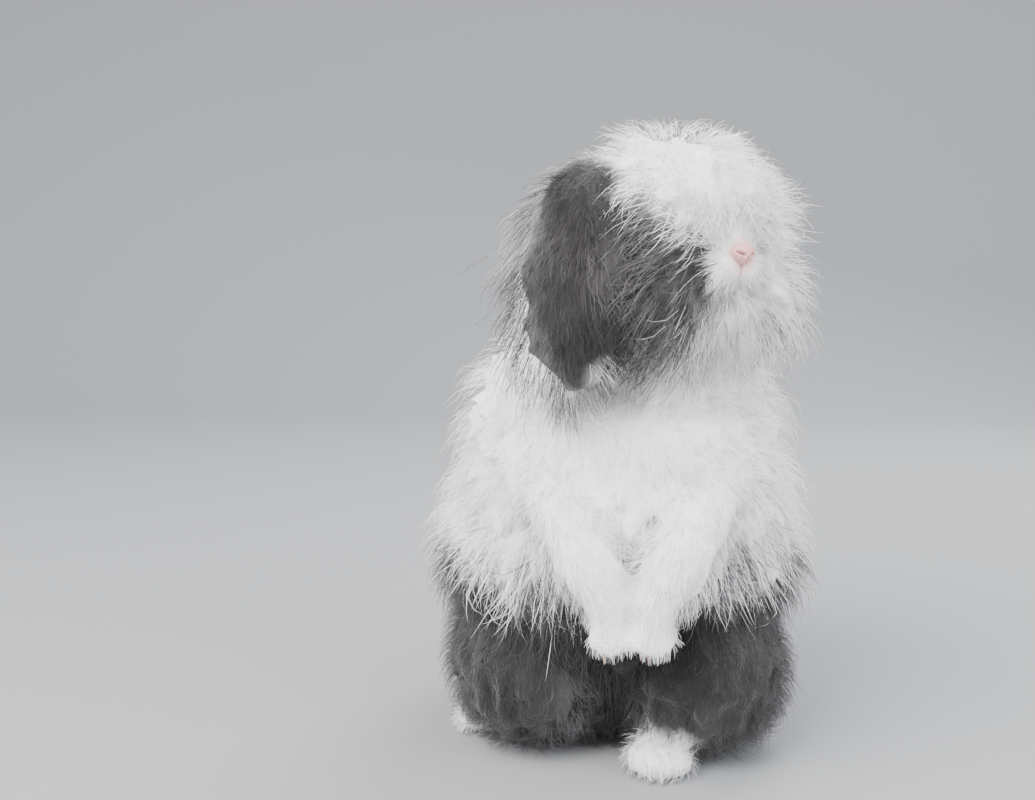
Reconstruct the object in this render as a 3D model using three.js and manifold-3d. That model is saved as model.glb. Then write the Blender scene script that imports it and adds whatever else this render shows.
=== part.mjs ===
// A small lop-eared angora rabbit, life size, sitting up on its haunches with its forepaws held together.
// Millimetres, +Z up. The rabbit faces -Y, its head is turned to its own left (+X), and it rests on z = 0.
// The bare body is a soft blend of ellipsoids. Half of the wool's depth is solid, and tapered locks stand on
// it and reach out to the tips of the coat. The whole animal is modelled in one, then parted by thin cuts.
import * as THREE from "three";
import { mergeVertices } from "three/addons/utils/BufferGeometryUtils.js";
import Module from "manifold-3d";

const wasm = await Module();
wasm.setup();

// Driving dimensions

const GAP = 0.3; // left between neighbouring pieces
const CORE_SHARE = 0.5; // the solid part of the wool's depth
const UPWARD_WOOL = 0.65; // wool on a surface that faces up lies this much lower

// The bare body and neck. Each lobe is an ellipsoid with the depth of the wool on it.
const BODY = {
  centre: [0, 10, 116],
  blend: 26,
  fade: 11,
  reach: 230,
  lobes: [
    { at: [-3, 38, 58], radii: [54, 50, 48], wool: 44 }, // rump
    { at: [-2, 8, 116], radii: [66, 50, 60], wool: 50 }, // belly and flanks
    { at: [3, -14, 156], radii: [54, 42, 42], wool: 50 }, // chest
    { at: [2, 16, 190], radii: [60, 38, 38], wool: 46 }, // shoulders
    { at: [-49, -6, 50], radii: [30, 48, 38], wool: 24 }, // right thigh
    { at: [48, -14, 50], radii: [30, 48, 38], wool: 24 }, // left thigh
  ],
};
const NECK = {
  centre: [12, 0, 244],
  blend: 20,
  fade: 10,
  reach: 130,
  lobes: [
    { at: [10, 6, 246], radii: [44, 36, 32], wool: 36 }, // ruff
    { at: [18, -14, 226], radii: [34, 34, 28], wool: 28 }, // throat
  ],
};

// The bare head in a frame of its own: x to the rabbit's left, -y forward, z up.
const HEAD_AT = [30, -48, 292];
const HEAD_YAW = 38; // degrees, towards the rabbit's left
const NOSE = { at: [0, -49, -13], radii: [7, 5, 5.5] };
const EYE = { at: [17, -15, 4], radius: 9, axis: [0.93, -0.34, 0.12] }; // the left one
const HEAD = {
  centre: [0, -4, -4],
  blend: 9,
  fade: 4,
  reach: 110,
  lobes: [
    { at: [0, 8, 2], radii: [27, 34, 30], wool: 40 }, // cranium
    { at: [14, -4, -24], radii: [15, 24, 19], wool: 43 }, // left jaw
    { at: [-14, -4, -24], radii: [15, 24, 19], wool: 43 }, // right jaw
    { at: [0, -12, 14], radii: [18, 18, 14], wool: 32 }, // forehead
    { at: [0, -24, -9], radii: [17, 26, 18], wool: 20 }, // face
    { at: [7.5, -38, -21], radii: [10, 11, 10], wool: 8 }, // left whisker pad
    { at: [-7.5, -38, -21], radii: [10, 11, 10], wool: 8 }, // right whisker pad
    { at: [0, -31, -33], radii: [9, 11, 7], wool: 20 }, // chin
  ],
  bare: [
    { at: [24, -18, 5], near: 8, far: 26 }, // round the left eye
    { at: [-24, -18, 5], near: 8, far: 26 }, // round the right eye
    { at: [0, -52, -14], near: 8, far: 32 }, // round the nose
  ],
};
const TAIL = {
  centre: [-4, 122, 34],
  blend: 4,
  fade: 4,
  reach: 60,
  lobes: [{ at: [-4, 120, 36], radii: [15, 20, 17], wool: 18 }],
};

// How far apart the locks of each form stand, and their size
const BODY_LOCKS = { apart: 42, length: 66, width: 35, thick: 16, seed: 13 };
const NECK_LOCKS = { apart: 34, length: 50, width: 29, thick: 13, seed: 17 };
const HEAD_LOCKS = { apart: 29, length: 42, width: 25, thick: 12, seed: 27 };
const TAIL_LOCKS = { apart: 26, length: 28, width: 20, thick: 8, seed: 31 };

// Ears: the line each follows in the head's frame, the way its outer face looks, and its width along that
// line. At the base that face looks up.
const EARS = {
  right: {
    path: [
      [-14, 16, 18],
      [-34, 15, 27],
      [-50, 10, 18],
      [-60, 5, -10],
      [-64, 0, -46],
      [-62, -4, -74],
    ],
    outward: [-0.82, -0.55, 0.15],
  },
  left: {
    path: [
      [14, 16, 18],
      [34, 18, 27],
      [49, 21, 18],
      [58, 25, -4],
      [63, 27, -32],
      [62, 30, -60],
    ],
    outward: [0.93, 0.3, 0.15],
  },
};
const EAR_WIDTHS = [15, 24, 38, 42, 34, 12];
const EAR_CUP = { bulge: 9, thick: 4.5 };
const EAR_LOCKS = { rows: 5, length: 40, width: 28, thick: 8, lift: 11, seed: 41 };

// Limbs: where each joint lies and how thick the limb is there
const ARMS = {
  right: [
    [-37, -56, 160],
    [-29, -80, 146],
    [-16, -96, 126],
    [-6, -101, 107],
    [-4, -103, 96],
  ],
  left: [
    [51, -56, 160],
    [43, -80, 146],
    [30, -96, 126],
    [20, -101, 107],
    [18, -103, 96],
  ],
};
const ARM_RADII = [21, 19, 15, 12, 10];
const PAW = { radii: [10, 12, 15], toe: 5 };
const ARM_LOCKS = { length: 22, width: 15, thick: 6, lift: 5, seed: 53 };
const HIND_FEET = {
  right: { heel: [-40, 44], toes: [-76, -2] },
  left: { heel: [34, 20], toes: [24, -58] },
};
const FOOT = { half_width: 18, height: 29, toe: 9 };

// Cuts between the named parts: a height at y = 0 and how it climbs with y, or an ellipsoid
const HEAD_CUT = { height: 262, slope: 0.45 };
const NECK_CUT = { height: 236, slope: 0.25 };
const RUMP_CUT = { height: 102, slope: 0.1 };
const THIGH_CUT = [ // seen from above: the outline of the left one, from the midline back to the flank
  [3, -160],
  [3, -34],
  [64, 52],
  [160, 52],
  [160, -160],
];
const TAIL_CUT = { at: [-4, 134, 36], radii: [32, 32, 32] };

// Finishes
const WHITE_WOOL = { color: 0xe9e8ea, roughness: 0.95, metalness: 0 };
const DARK_WOOL = { color: 0x565053, roughness: 0.95, metalness: 0 };
const NOSE_SKIN = { color: 0xdf9f9a, roughness: 0.6, metalness: 0 };
const EYE_GLOSS = { color: 0x1b0f0d, roughness: 0.08, metalness: 0 };

// Small helpers

const vec = (x, y, z) => new THREE.Vector3(x, y, z);
const vecOf = (a) => new THREE.Vector3(...a);
const mirrored = (a) => [-a[0], a[1], a[2]];
const grownBy = (a, extra) => a.map((v) => v + extra);
const degrees = THREE.MathUtils.degToRad;
const UP = vec(0, 0, 1);

// The same numbers on every run.
function seeded(seed) {
  let state = seed;
  return () => {
    state = (state + 0x6d2b79f5) | 0;
    let t = Math.imul(state ^ (state >>> 15), 1 | state);
    t = (t + Math.imul(t ^ (t >>> 7), 61 | t)) ^ t;
    return ((t ^ (t >>> 14)) >>> 0) / 4294967296;
  };
}
const between = (random, low, high) => low + (high - low) * random();

// Booleans on closed meshes

function solid(geometry) {
  const bare = geometry.clone();
  bare.deleteAttribute("normal");
  bare.deleteAttribute("uv");
  const merged = mergeVertices(bare, 1e-4);
  return new wasm.Manifold(
    new wasm.Mesh({
      numProp: 3,
      vertProperties: merged.attributes.position.array,
      triVerts: new Uint32Array(merged.index.array),
    }),
  );
}

function joined(solids) {
  let round = solids;
  while (round.length > 1) {
    const next = [];
    for (let i = 0; i < round.length; i += 2) {
      next.push(i + 1 < round.length ? round[i].add(round[i + 1]) : round[i]);
    }
    round = next;
  }
  return round[0];
}

// The largest closed surface of a solid, which fills what fusing seals and drops loose scraps.
function largest(made) {
  return made.decompose().reduce((a, b) => (b.volume() > a.volume() ? b : a));
}

function geometryOf(made) {
  const mesh = made.getMesh();
  const geometry = new THREE.BufferGeometry();
  const position = new Float32Array(mesh.numVert * 3);
  for (let i = 0; i < mesh.numVert; i++) {
    position.set(mesh.vertProperties.subarray(i * mesh.numProp, i * mesh.numProp + 3), i * 3);
  }
  geometry.setAttribute("position", new THREE.BufferAttribute(position, 3));
  geometry.setIndex(new THREE.BufferAttribute(new Uint32Array(mesh.triVerts), 1));
  geometry.computeVertexNormals();
  return geometry;
}

// Simple closed shapes

// A closed surface through rings of equal length, each right-handed about the way of travel.
// It ends flat or in a tip.
function throughRings(rings, tip) {
  const sides = rings[0].length;
  const points = rings.flat();
  const index = [];
  const last = points.length - sides;
  for (let start = 0; start < last; start += sides) {
    for (let s = 0; s < sides; s++) {
      const next = (s + 1) % sides;
      index.push(start + s, start + next, start + sides + next);
      index.push(start + s, start + sides + next, start + sides + s);
    }
  }
  for (let s = 1; s + 1 < sides; s++) index.push(0, s + 1, s);
  if (tip) points.push(tip);
  for (let s = 0; s < sides; s++) {
    if (tip) index.push(last + s, last + ((s + 1) % sides), points.length - 1);
    else if (s > 0 && s + 1 < sides) index.push(last, last + s, last + s + 1);
  }
  const geometry = new THREE.BufferGeometry().setFromPoints(points);
  geometry.setIndex(index);
  return geometry;
}

function ellipsoid(at, radii, detail = 3) {
  const geometry = new THREE.IcosahedronGeometry(1, detail);
  return solid(geometry.scale(...radii).translate(...at));
}

const moved = (made, frame) => made.transform(frame.elements);

// The space under a sloping plane.
function under({ height, slope }, offset) {
  const size = 700;
  const geometry = new THREE.BoxGeometry(size, size, size).translate(0, 0, -size / 2);
  const tilt = new THREE.Matrix4().makeRotationX(Math.atan(slope)).setPosition(0, 0, height + offset);
  return solid(geometry.applyMatrix4(tilt));
}

// A solid parted by a cutter that is given as a function of how far it is grown: the piece inside it and
// the rest.
function parted(made, cutter) {
  return [made.intersect(cutter(-GAP / 2)), made.subtract(cutter(GAP / 2))];
}
const underCut = (cut) => (grow) => under(cut, grow);
const ellipsoidCut = (cut, frame = new THREE.Matrix4()) => (grow) =>
  moved(ellipsoid(cut.at, grownBy(cut.radii, grow), 2), frame);

// Soft forms

// Below zero inside an ellipsoid, and nearly a distance close to its surface.
function lobeField(lobe, point) {
  const [x, y, z] = [0, 1, 2].map((i) => (point.getComponent(i) - lobe.at[i]) / lobe.radii[i]);
  const scaled = Math.hypot(x, y, z);
  const steep = Math.hypot(x / lobe.radii[0], y / lobe.radii[1], z / lobe.radii[2]);
  return steep < 1e-9 ? -Math.min(...lobe.radii) : (scaled * (scaled - 1)) / steep;
}

function softMin(a, b, blend) {
  const h = THREE.MathUtils.clamp(0.5 + (0.5 * (b - a)) / blend, 0, 1);
  return b + (a - b) * h - blend * h * (1 - h);
}

function field(form, point) {
  return form.lobes.map((lobe) => lobeField(lobe, point)).reduce((a, b) => softMin(a, b, form.blend));
}

// The skin in one direction from the form's centre: its point, its normal and the wool's depth there.
function skinAt(form, direction) {
  const centre = vecOf(form.centre);
  const along = (distance) => centre.clone().addScaledVector(direction, distance);
  let far = form.reach;
  while (far > 0 && field(form, along(far)) > 0) far -= 2;
  let [low, high] = [far, far + 2];
  for (let i = 0; i < 12; i++) {
    const middle = (low + high) / 2;
    if (field(form, along(middle)) > 0) high = middle;
    else low = middle;
  }
  const point = along(low);
  const step = 0.5;
  const beside = (axis, way) => field(form, point.clone().addScaledVector(axis, way * step));
  const slope = (axis) => beside(axis, 1) - beside(axis, -1);
  const normal = vec(slope(vec(1, 0, 0)), slope(vec(0, 1, 0)), slope(vec(0, 0, 1))).normalize();
  const weights = form.lobes.map((lobe) => Math.exp(-Math.max(0, lobeField(lobe, point)) / form.fade));
  const total = weights.reduce((a, b) => a + b);
  let wool = form.lobes.reduce((sum, lobe, i) => sum + (lobe.wool * weights[i]) / total, 0);
  wool *= 1 - (1 - UPWARD_WOOL) * Math.max(0, normal.z);
  for (const { at, near, far: clear } of form.bare ?? []) {
    wool *= THREE.MathUtils.smoothstep(point.distanceTo(vecOf(at)), near, clear);
  }
  return { point, normal, wool: Math.max(wool, 1) };
}

// The point at a share of the wool's depth over the skin, nearest to a place beside the form.
function inWool(form, place, share) {
  const { point, normal, wool } = skinAt(form, place.clone().sub(vecOf(form.centre)).normalize());
  return point.addScaledVector(normal, wool * share);
}

// A form's skin with half of its wool, as one closed mesh.
function coreOf(form, detail) {
  const geometry = new THREE.IcosahedronGeometry(1, detail);
  const position = geometry.attributes.position;
  for (let i = 0; i < position.count; i++) {
    const { point, normal, wool } = skinAt(form, vec(0, 0, 0).fromBufferAttribute(position, i).normalize());
    point.addScaledVector(normal, wool * CORE_SHARE);
    position.setXYZ(i, point.x, point.y, point.z);
  }
  return solid(geometry);
}

// Locks

// A flat, tapered lock through three points, with a ridge on its outer face.
const LOCK_STATIONS = [
  { along: 0, wide: 0.4 },
  { along: 0.42, wide: 1 },
  { along: 0.76, wide: 0.66 },
];
function lock(start, middle, tip, out, width, thick) {
  const control = middle.clone().multiplyScalar(2).addScaledVector(start, -0.5).addScaledVector(tip, -0.5);
  const path = new THREE.QuadraticBezierCurve3(start, control, tip);
  const rings = LOCK_STATIONS.map(({ along, wide }) => {
    const at = path.getPoint(along);
    const travel = path.getTangent(along);
    const up = out.clone().addScaledVector(travel, -out.dot(travel)).normalize();
    const side = travel.clone().cross(up);
    const low = at.clone().addScaledVector(up, -thick * 0.25);
    const edge = (way) => low.clone().addScaledVector(side, (way * width * wide) / 2);
    return [at.clone().addScaledVector(up, thick * 0.75 * wide), edge(1), edge(-1)];
  });
  return solid(throughRings(rings, tip));
}

// Directions spread evenly over a sphere.
function spread(count) {
  const turn = Math.PI * (3 - Math.sqrt(5));
  return Array.from({ length: count }, (_, i) => {
    const z = 1 - (2 * (i + 0.5)) / count;
    const r = Math.sqrt(1 - z * z);
    return vec(r * Math.cos(turn * i), r * Math.sin(turn * i), z);
  });
}

// Places on a form that stand a given distance apart, measured on the core.
function rootsOn(form, apart) {
  const roots = [];
  for (const direction of spread(1500)) {
    const { point, normal, wool } = skinAt(form, direction);
    const top = point.clone().addScaledVector(normal, wool * CORE_SHARE);
    if (roots.every((root) => root.top.distanceTo(top) > apart)) roots.push({ point, normal, wool, top });
  }
  return roots;
}

// Locks spread over a form. lieAt gives the way the wool runs at a root and the lock's relative size, or
// null where none stands. Each lock follows the form, sunk into the core, with its tip at the wool's top.
const LOCK_SINK = 8;
const LOWEST_TIP = 5; // locks near the floor bend over above it
function locksOn(form, sizes, lieAt, frame = new THREE.Matrix4()) {
  const random = seeded(sizes.seed);
  const overFloor = (at) => {
    const world = at.clone().applyMatrix4(frame);
    return at.setZ(at.z + Math.max(0, LOWEST_TIP - world.z));
  };
  const made = [];
  for (const { point, normal, wool, top } of rootsOn(form, sizes.apart)) {
    const way = lieAt(top, normal, wool);
    if (!way) continue;
    const lie = way.flow.clone().addScaledVector(normal, -way.flow.dot(normal));
    if (lie.length() < 0.05) lie.copy(UP.clone().cross(normal)).addScaledVector(UP, 0.01);
    lie.normalize().applyAxisAngle(normal, between(random, -0.3, 0.3));
    const length = sizes.length * between(random, 0.85, 1.2) * way.size;
    const raised = point.clone().addScaledVector(normal, wool * 0.6);
    const beside = (share) => raised.clone().addScaledVector(lie, length * share);
    made.push(
      lock(
        point.clone().addScaledVector(normal, wool * CORE_SHARE - LOCK_SINK * way.size),
        overFloor(inWool(form, beside(0.5), 0.82)),
        overFloor(inWool(form, beside(1), between(random, 0.94, 1.14))),
        normal,
        sizes.width * between(random, 0.9, 1.12) * way.size,
        sizes.thick * way.size,
      ),
    );
  }
  return made;
}

// Head frame

const headFrame = new THREE.Matrix4().makeRotationZ(degrees(HEAD_YAW)).setPosition(...HEAD_AT);
const toHead = headFrame.clone().invert();

// Ears

// One ring of points round the line of an ear: u runs across it and v outward.
function earRing(frame, outline) {
  const { at, across, out } = frame;
  return outline.map(([u, v]) => at.clone().addScaledVector(across, u).addScaledVector(out, v));
}

function earFrames({ path, outward }, count) {
  const line = new THREE.CatmullRomCurve3(path.map(vecOf));
  return Array.from({ length: count }, (_, i) => {
    const along = i / (count - 1);
    const travel = line.getTangentAt(along);
    const out = vecOf(outward).addScaledVector(UP, 3 * (1 - THREE.MathUtils.smoothstep(along, 0, 0.35)));
    out.addScaledVector(travel, -out.dot(travel)).normalize();
    const reach = along * (EAR_WIDTHS.length - 1);
    const step = Math.min(Math.floor(reach), EAR_WIDTHS.length - 2);
    const width = THREE.MathUtils.lerp(EAR_WIDTHS[step], EAR_WIDTHS[step + 1], reach - step);
    return { along, at: line.getPointAt(along), travel, out, across: travel.clone().cross(out), width };
  });
}

// The ear's flap: a long shell, cupped towards the head.
function earFlap(ear) {
  const shares = [-1, -0.5, 0, 0.5, 1];
  const rings = earFrames(ear, 8).map((frame) => {
    const outer = shares.map((s) => [(s * frame.width) / 2, EAR_CUP.bulge * (1 - s * s)]);
    const inner = outer.map(([u, v]) => [u * 0.94, v - EAR_CUP.thick]).reverse();
    return earRing(frame, [...outer, ...inner]);
  });
  return solid(throughRings(rings));
}

// The room that an ear and its wool take up, from one station of its line to beyond the tip.
function earRoom(ear, grow, first = 0) {
  const oval = (frame, wide, deep, raised) =>
    earRing(
      frame,
      Array.from({ length: 8 }, (_, i) => {
        const turn = (-i / 8) * Math.PI * 2;
        return [(wide + grow) * Math.cos(turn), raised + (deep + grow) * Math.sin(turn)];
      }),
    );
  const frames = earFrames(ear, 9).slice(first);
  const rings = frames.map((frame) => {
    const wool = THREE.MathUtils.smoothstep(frame.along, 0.15, 0.4);
    return oval(frame, frame.width / 2 + 3 + 14 * wool, 8 + 9 * wool, 3 + 8 * wool);
  });
  const end = frames.at(-1);
  const beyond = { ...end, at: end.at.clone().addScaledVector(end.travel, 30 + grow) };
  return solid(throughRings([...rings, oval(beyond, 12, 9, 8)]));
}

// Rows of locks that lie along the ear's outer face and fan out over its edges and tip.
function earLocks(ear) {
  const random = seeded(EAR_LOCKS.seed);
  const frames = earFrames(ear, 33);
  const made = [];
  for (let row = 0; row < EAR_LOCKS.rows; row++) {
    for (const s of row % 2 ? [0] : [-0.8, 0.8]) {
      const place = Math.round(between(random, 8, 10) + (row * 21) / (EAR_LOCKS.rows - 1));
      const frame = frames[Math.min(place, frames.length - 1)];
      const v = EAR_CUP.bulge * (1 - s * s) - EAR_CUP.thick / 2;
      const [root] = earRing(frame, [[(s * frame.width) / 2.3, v]]);
      const out = frame.out.clone().addScaledVector(frame.across, s * 0.5).normalize();
      const aside = s * 0.45 + between(random, -0.2, 0.2);
      const lie = frame.travel.clone().addScaledVector(frame.across, aside).normalize();
      const length = EAR_LOCKS.length * between(random, 0.85, 1.15);
      const along = (share) => root.clone().addScaledVector(lie, length * share);
      const raised = (share, lift) => along(share).addScaledVector(out, lift);
      made.push(
        lock(
          root.addScaledVector(out, -1.5),
          raised(0.45, EAR_LOCKS.lift * 0.8),
          raised(1, EAR_LOCKS.lift * between(random, 0.5, 1)),
          out,
          EAR_LOCKS.width,
          EAR_LOCKS.thick,
        ),
      );
    }
  }
  return made;
}

// Limbs

const TURNS = 7;

// A round limb through its joints.
function limb(joints, radii, grow) {
  const line = new THREE.CatmullRomCurve3(joints.map(vecOf));
  const count = 7;
  const rings = Array.from({ length: count }, (_, i) => {
    const along = i / (count - 1);
    const travel = line.getTangent(along);
    const across = travel.clone().cross(vec(0, 1, 0)).normalize();
    const out = across.clone().cross(travel);
    const reach = along * (radii.length - 1);
    const step = Math.min(Math.floor(reach), radii.length - 2);
    const radius = THREE.MathUtils.lerp(radii[step], radii[step + 1], reach - step) + grow;
    return Array.from({ length: TURNS }, (_, t) => {
      const turn = (-t / TURNS) * Math.PI * 2;
      return line.getPoint(along)
        .addScaledVector(across, radius * Math.cos(turn))
        .addScaledVector(out, radius * Math.sin(turn));
    });
  });
  return solid(throughRings(rings));
}

// A foreleg with its paw: the limb, the paw, four toes and the feathering on its outer side.
function arm(side, grow) {
  const joints = ARMS[side];
  const end = vecOf(joints.at(-1));
  const outward = side === "left" ? 1 : -1;
  const pieces = [limb(joints, ARM_RADII, grow), ellipsoid(end.toArray(), grownBy(PAW.radii, grow), 1)];
  if (grow === 0) {
    for (const [i, across] of [-6.5, -2.3, 2.3, 6.5].entries()) {
      const toe = end.clone().add(vec(across * 0.82, -3, i % 3 ? -13 : -10));
      pieces.push(ellipsoid(toe.toArray(), [PAW.toe * 0.8, PAW.toe, PAW.toe * 1.1], 1));
    }
  }
  const random = seeded(ARM_LOCKS.seed);
  const line = new THREE.CatmullRomCurve3(joints.map(vecOf));
  for (const [along, turn] of [[0.36, 0.9], [0.6, 0.6]]) {
    const travel = line.getTangent(along);
    const out = vec(outward * Math.cos(turn), -Math.sin(turn), 0.1);
    out.addScaledVector(travel, -out.dot(travel)).normalize();
    const radius = THREE.MathUtils.lerp(ARM_RADII[0], ARM_RADII.at(-1), along);
    const lie = travel.addScaledVector(out, 0.1).addScaledVector(UP, between(random, -0.3, 0.1));
    lie.normalize();
    const root = line.getPoint(along).addScaledVector(out, radius * 0.7);
    const raised = (share, lift) =>
      root.clone().addScaledVector(lie, ARM_LOCKS.length * share).addScaledVector(out, radius * 0.3 + lift);
    const middle = raised(0.45, ARM_LOCKS.lift * 0.7 + grow);
    const tip = raised(1 + grow * 0.1, ARM_LOCKS.lift * 0.4);
    pieces.push(lock(root, middle, tip, out, ARM_LOCKS.width + 3 * grow, ARM_LOCKS.thick + 2 * grow));
  }
  return joined(pieces);
}

// A long hind foot with four toes. Its sole is cut flat with the rest.
function hindFoot(side) {
  const heel = vec(...HIND_FEET[side].heel, 0);
  const toes = vec(...HIND_FEET[side].toes, 0);
  const way = toes.clone().sub(heel).normalize();
  const across = way.clone().cross(UP);
  const length = heel.distanceTo(toes);
  const rings = [0.2, 0.45, 0.7, 0.92, 1.06].map((share, i, all) => {
    const slim = i === all.length - 1 ? 0.6 : 1;
    const at = heel.clone().addScaledVector(way, share * length);
    return Array.from({ length: 10 }, (_, t) => {
      const turn = (-t / 10) * Math.PI * 2;
      const height = FOOT.height * (0.38 + 0.62 * slim * Math.sin(turn));
      return at.clone().addScaledVector(across, FOOT.half_width * slim * Math.cos(turn)).setZ(height);
    });
  });
  const pieces = [solid(throughRings(rings))];
  for (const [i, share] of [-0.68, -0.24, 0.24, 0.68].entries()) {
    const ahead = i === 1 || i === 2 ? 8 : 4;
    const toe = toes.clone().addScaledVector(way, ahead).addScaledVector(across, FOOT.half_width * share);
    toe.setZ(10);
    pieces.push(ellipsoid(toe.toArray(), [FOOT.toe * 0.82, FOOT.toe * 1.1, FOOT.toe * 1.15], 1));
  }
  return joined(pieces);
}

// Face

// An eyeball, and the lids that close over it but for an almond-shaped opening.
function eyeAt(side, grow) {
  const at = side === "left" ? EYE.at : mirrored(EYE.at);
  return moved(ellipsoid(at, grownBy([0, 0, 0], EYE.radius + grow), 2), headFrame);
}
const LIDS = { over: 2.4, opening: [7.4, 6, 4.8] };
function lids(side) {
  const at = vecOf(side === "left" ? EYE.at : mirrored(EYE.at));
  const axis = vecOf(side === "left" ? EYE.axis : mirrored(EYE.axis)).normalize();
  const across = UP.clone().cross(axis).normalize();
  const slanted = across.clone().addScaledVector(UP, side === "left" ? 0.25 : -0.25).normalize();
  const frame = new THREE.Matrix4()
    .makeBasis(slanted, axis, slanted.clone().cross(axis))
    .setPosition(at.clone().addScaledVector(axis, EYE.radius + 1));
  const opening = moved(ellipsoid([0, 0, 0], LIDS.opening, 1), frame);
  const shell = ellipsoid(at.toArray(), grownBy([0, 0, 0], EYE.radius + LIDS.over), 2);
  return { shell, opening };
}

// The muzzle: whisker pads with the split lip between them, the lower lip and the line of the mouth.
function muzzleForms() {
  const pads = [1, -1].map((way) => ellipsoid([way * 7.2, -39, -21], [10.5, 12, 10.5], 2));
  const lip = ellipsoid([0, -35, -33], [9.5, 12, 7], 2);
  const mouth = new THREE.TorusGeometry(14.6, 1.5, 4, 15).scale(1, 1.12, 1).translate(0, -35.5, -29.5);
  const split = new THREE.BoxGeometry(1.1, 10, 13).rotateX(-0.2).translate(0, -52, -23.5);
  return { grown: [...pads, lip], cut: [solid(mouth), solid(split)] };
}

function nosePad(grow) {
  const pad = ellipsoid(NOSE.at, grownBy(NOSE.radii, grow), 2);
  if (grow > 0) return moved(pad, headFrame);
  const nostrils = [1, -1].map((way) => {
    const slit = new THREE.IcosahedronGeometry(1, 0).scale(2.8, 3.2, 0.9).rotateY(way * 0.55);
    return solid(slit.translate(way * 4, NOSE.at[1] - 4.2, NOSE.at[2] - 0.6));
  });
  return moved(nostrils.reduce((left, slit) => left.subtract(slit), pad), headFrame);
}

// Coat: where locks stand on each form, and the way they lie

const inHead = (point) => point.clone().applyMatrix4(toHead);
const earLines = Object.values(EARS).map((ear) => earFrames(ear, 9));
function nearEar(point, reach) {
  const near = ({ at, width }) => point.distanceTo(at) < width / 2 + reach;
  return earLines.some((frames) => frames.some(near));
}

// On the body the wool runs down and outward. Nothing stands where the neck, head and forelegs cover it.
function bodyLie(top, normal) {
  if (field(NECK, top) < 9 || field(HEAD, inHead(top)) < 8) return null;
  if (top.z < 8 || (normal.z < -0.7 && top.z < 30)) return null;
  const low = THREE.MathUtils.clamp((80 - top.z) / 60, 0, 1);
  const outward = vec(normal.x, normal.y, 0).multiplyScalar(0.3 + low);
  return { flow: outward.addScaledVector(UP, -1 + low * 0.5), size: 1 };
}

function neckLie(top, normal) {
  if (field(BODY, top) < 10 || field(HEAD, inHead(top)) < 9 || nearEar(inHead(top), 0)) return null;
  return { flow: vec(normal.x, normal.y, -0.9), size: 1 };
}

// On the head the crown falls forward, back and to the sides, and the face's wool runs away from the nose.
function headLie(top, normal, wool) {
  if (wool < 7) return null;
  const world = top.clone().applyMatrix4(headFrame);
  if (field(NECK, world) < 8 || field(BODY, world) < 8) return null;
  if (nearEar(top, 2)) return null;
  const away = top.clone().sub(vecOf(NOSE.at));
  const crown = THREE.MathUtils.clamp((top.z - 8) / 20, 0, 1);
  const flow = away.clone().normalize().multiplyScalar(1 - crown);
  flow.add(vec(top.x * 0.02, (top.y - 4) * 0.015, -0.55));
  return { flow, size: THREE.MathUtils.clamp(away.length() / 60, 0.6, 1) };
}

const tailLie = (top, normal) => (normal.y < -0.5 ? null : { flow: vec(0, 0.7, 0.5), size: 1 });

// The block outside and in front of the thigh, which parts a hind leg from the rump
const thighCut = (side) => (grow) => {
  const way = side === "left" ? 1 : -1;
  const outline = THIGH_CUT.map(([x, y], i) => {
    const [out, forward] = i < 4 ? [-grow, grow] : [0, 0];
    return new THREE.Vector2((x + out) * way, y + forward);
  });
  const shape = new THREE.Shape(way > 0 ? outline : outline.reverse());
  return solid(new THREE.ExtrudeGeometry(shape, { depth: 300, bevelEnabled: false }).translate(0, 0, -100));
};

// The whole animal, then its parts

const SIDES = ["left", "right"];
const { grown: muzzleGrown, cut: muzzleCuts } = muzzleForms();
const lidPairs = SIDES.map(lids);

let head = joined([
  coreOf(HEAD, 5),
  ...muzzleGrown,
  ...lidPairs.map(({ shell }) => shell),
  ...locksOn(HEAD, HEAD_LOCKS, headLie, headFrame),
]);
for (const cut of [...muzzleCuts, ...lidPairs.map(({ opening }) => opening)]) head = head.subtract(cut);

let coat = joined([
  coreOf(BODY, 5),
  coreOf(NECK, 4),
  coreOf(TAIL, 2),
  moved(head, headFrame),
  ...locksOn(BODY, BODY_LOCKS, bodyLie),
  ...locksOn(NECK, NECK_LOCKS, neckLie),
  ...locksOn(TAIL, TAIL_LOCKS, tailLie),
]);
for (const side of SIDES) coat = coat.add(hindFoot(side));
coat = coat.subtract(under({ height: 0, slope: 0 }, 0));

const rabbit = new THREE.Group();

function addNode(name, made, look) {
  const piece = new THREE.Mesh(geometryOf(largest(made)), new THREE.MeshStandardMaterial(look));
  piece.name = name;
  rabbit.add(piece);
}

for (const side of SIDES) {
  const ear = EARS[side];
  const flap = moved(joined([earFlap(ear), ...earLocks(ear)]), headFrame);
  const room = (grow) => moved(earRoom(ear, grow), headFrame);
  const hollow = moved(earRoom(ear, 0, 3), headFrame);
  const eared = coat.subtract(hollow).add(flap);
  addNode(`ear_${side}`, eared.intersect(room(-GAP / 2)), DARK_WOOL);
  coat = coat.subtract(room(GAP / 2));
}

for (const side of SIDES) {
  coat = coat.subtract(arm(side, GAP)).subtract(eyeAt(side, GAP));
  addNode(`foreleg_${side}`, arm(side, 0), WHITE_WOOL);
  addNode(`eye_${side}`, eyeAt(side, 0), EYE_GLOSS);
}
coat = coat.subtract(nosePad(GAP));
addNode("nose", nosePad(0), NOSE_SKIN);

let [below, skull] = parted(coat, underCut(HEAD_CUT));
addNode("head", skull, WHITE_WOOL);

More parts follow.
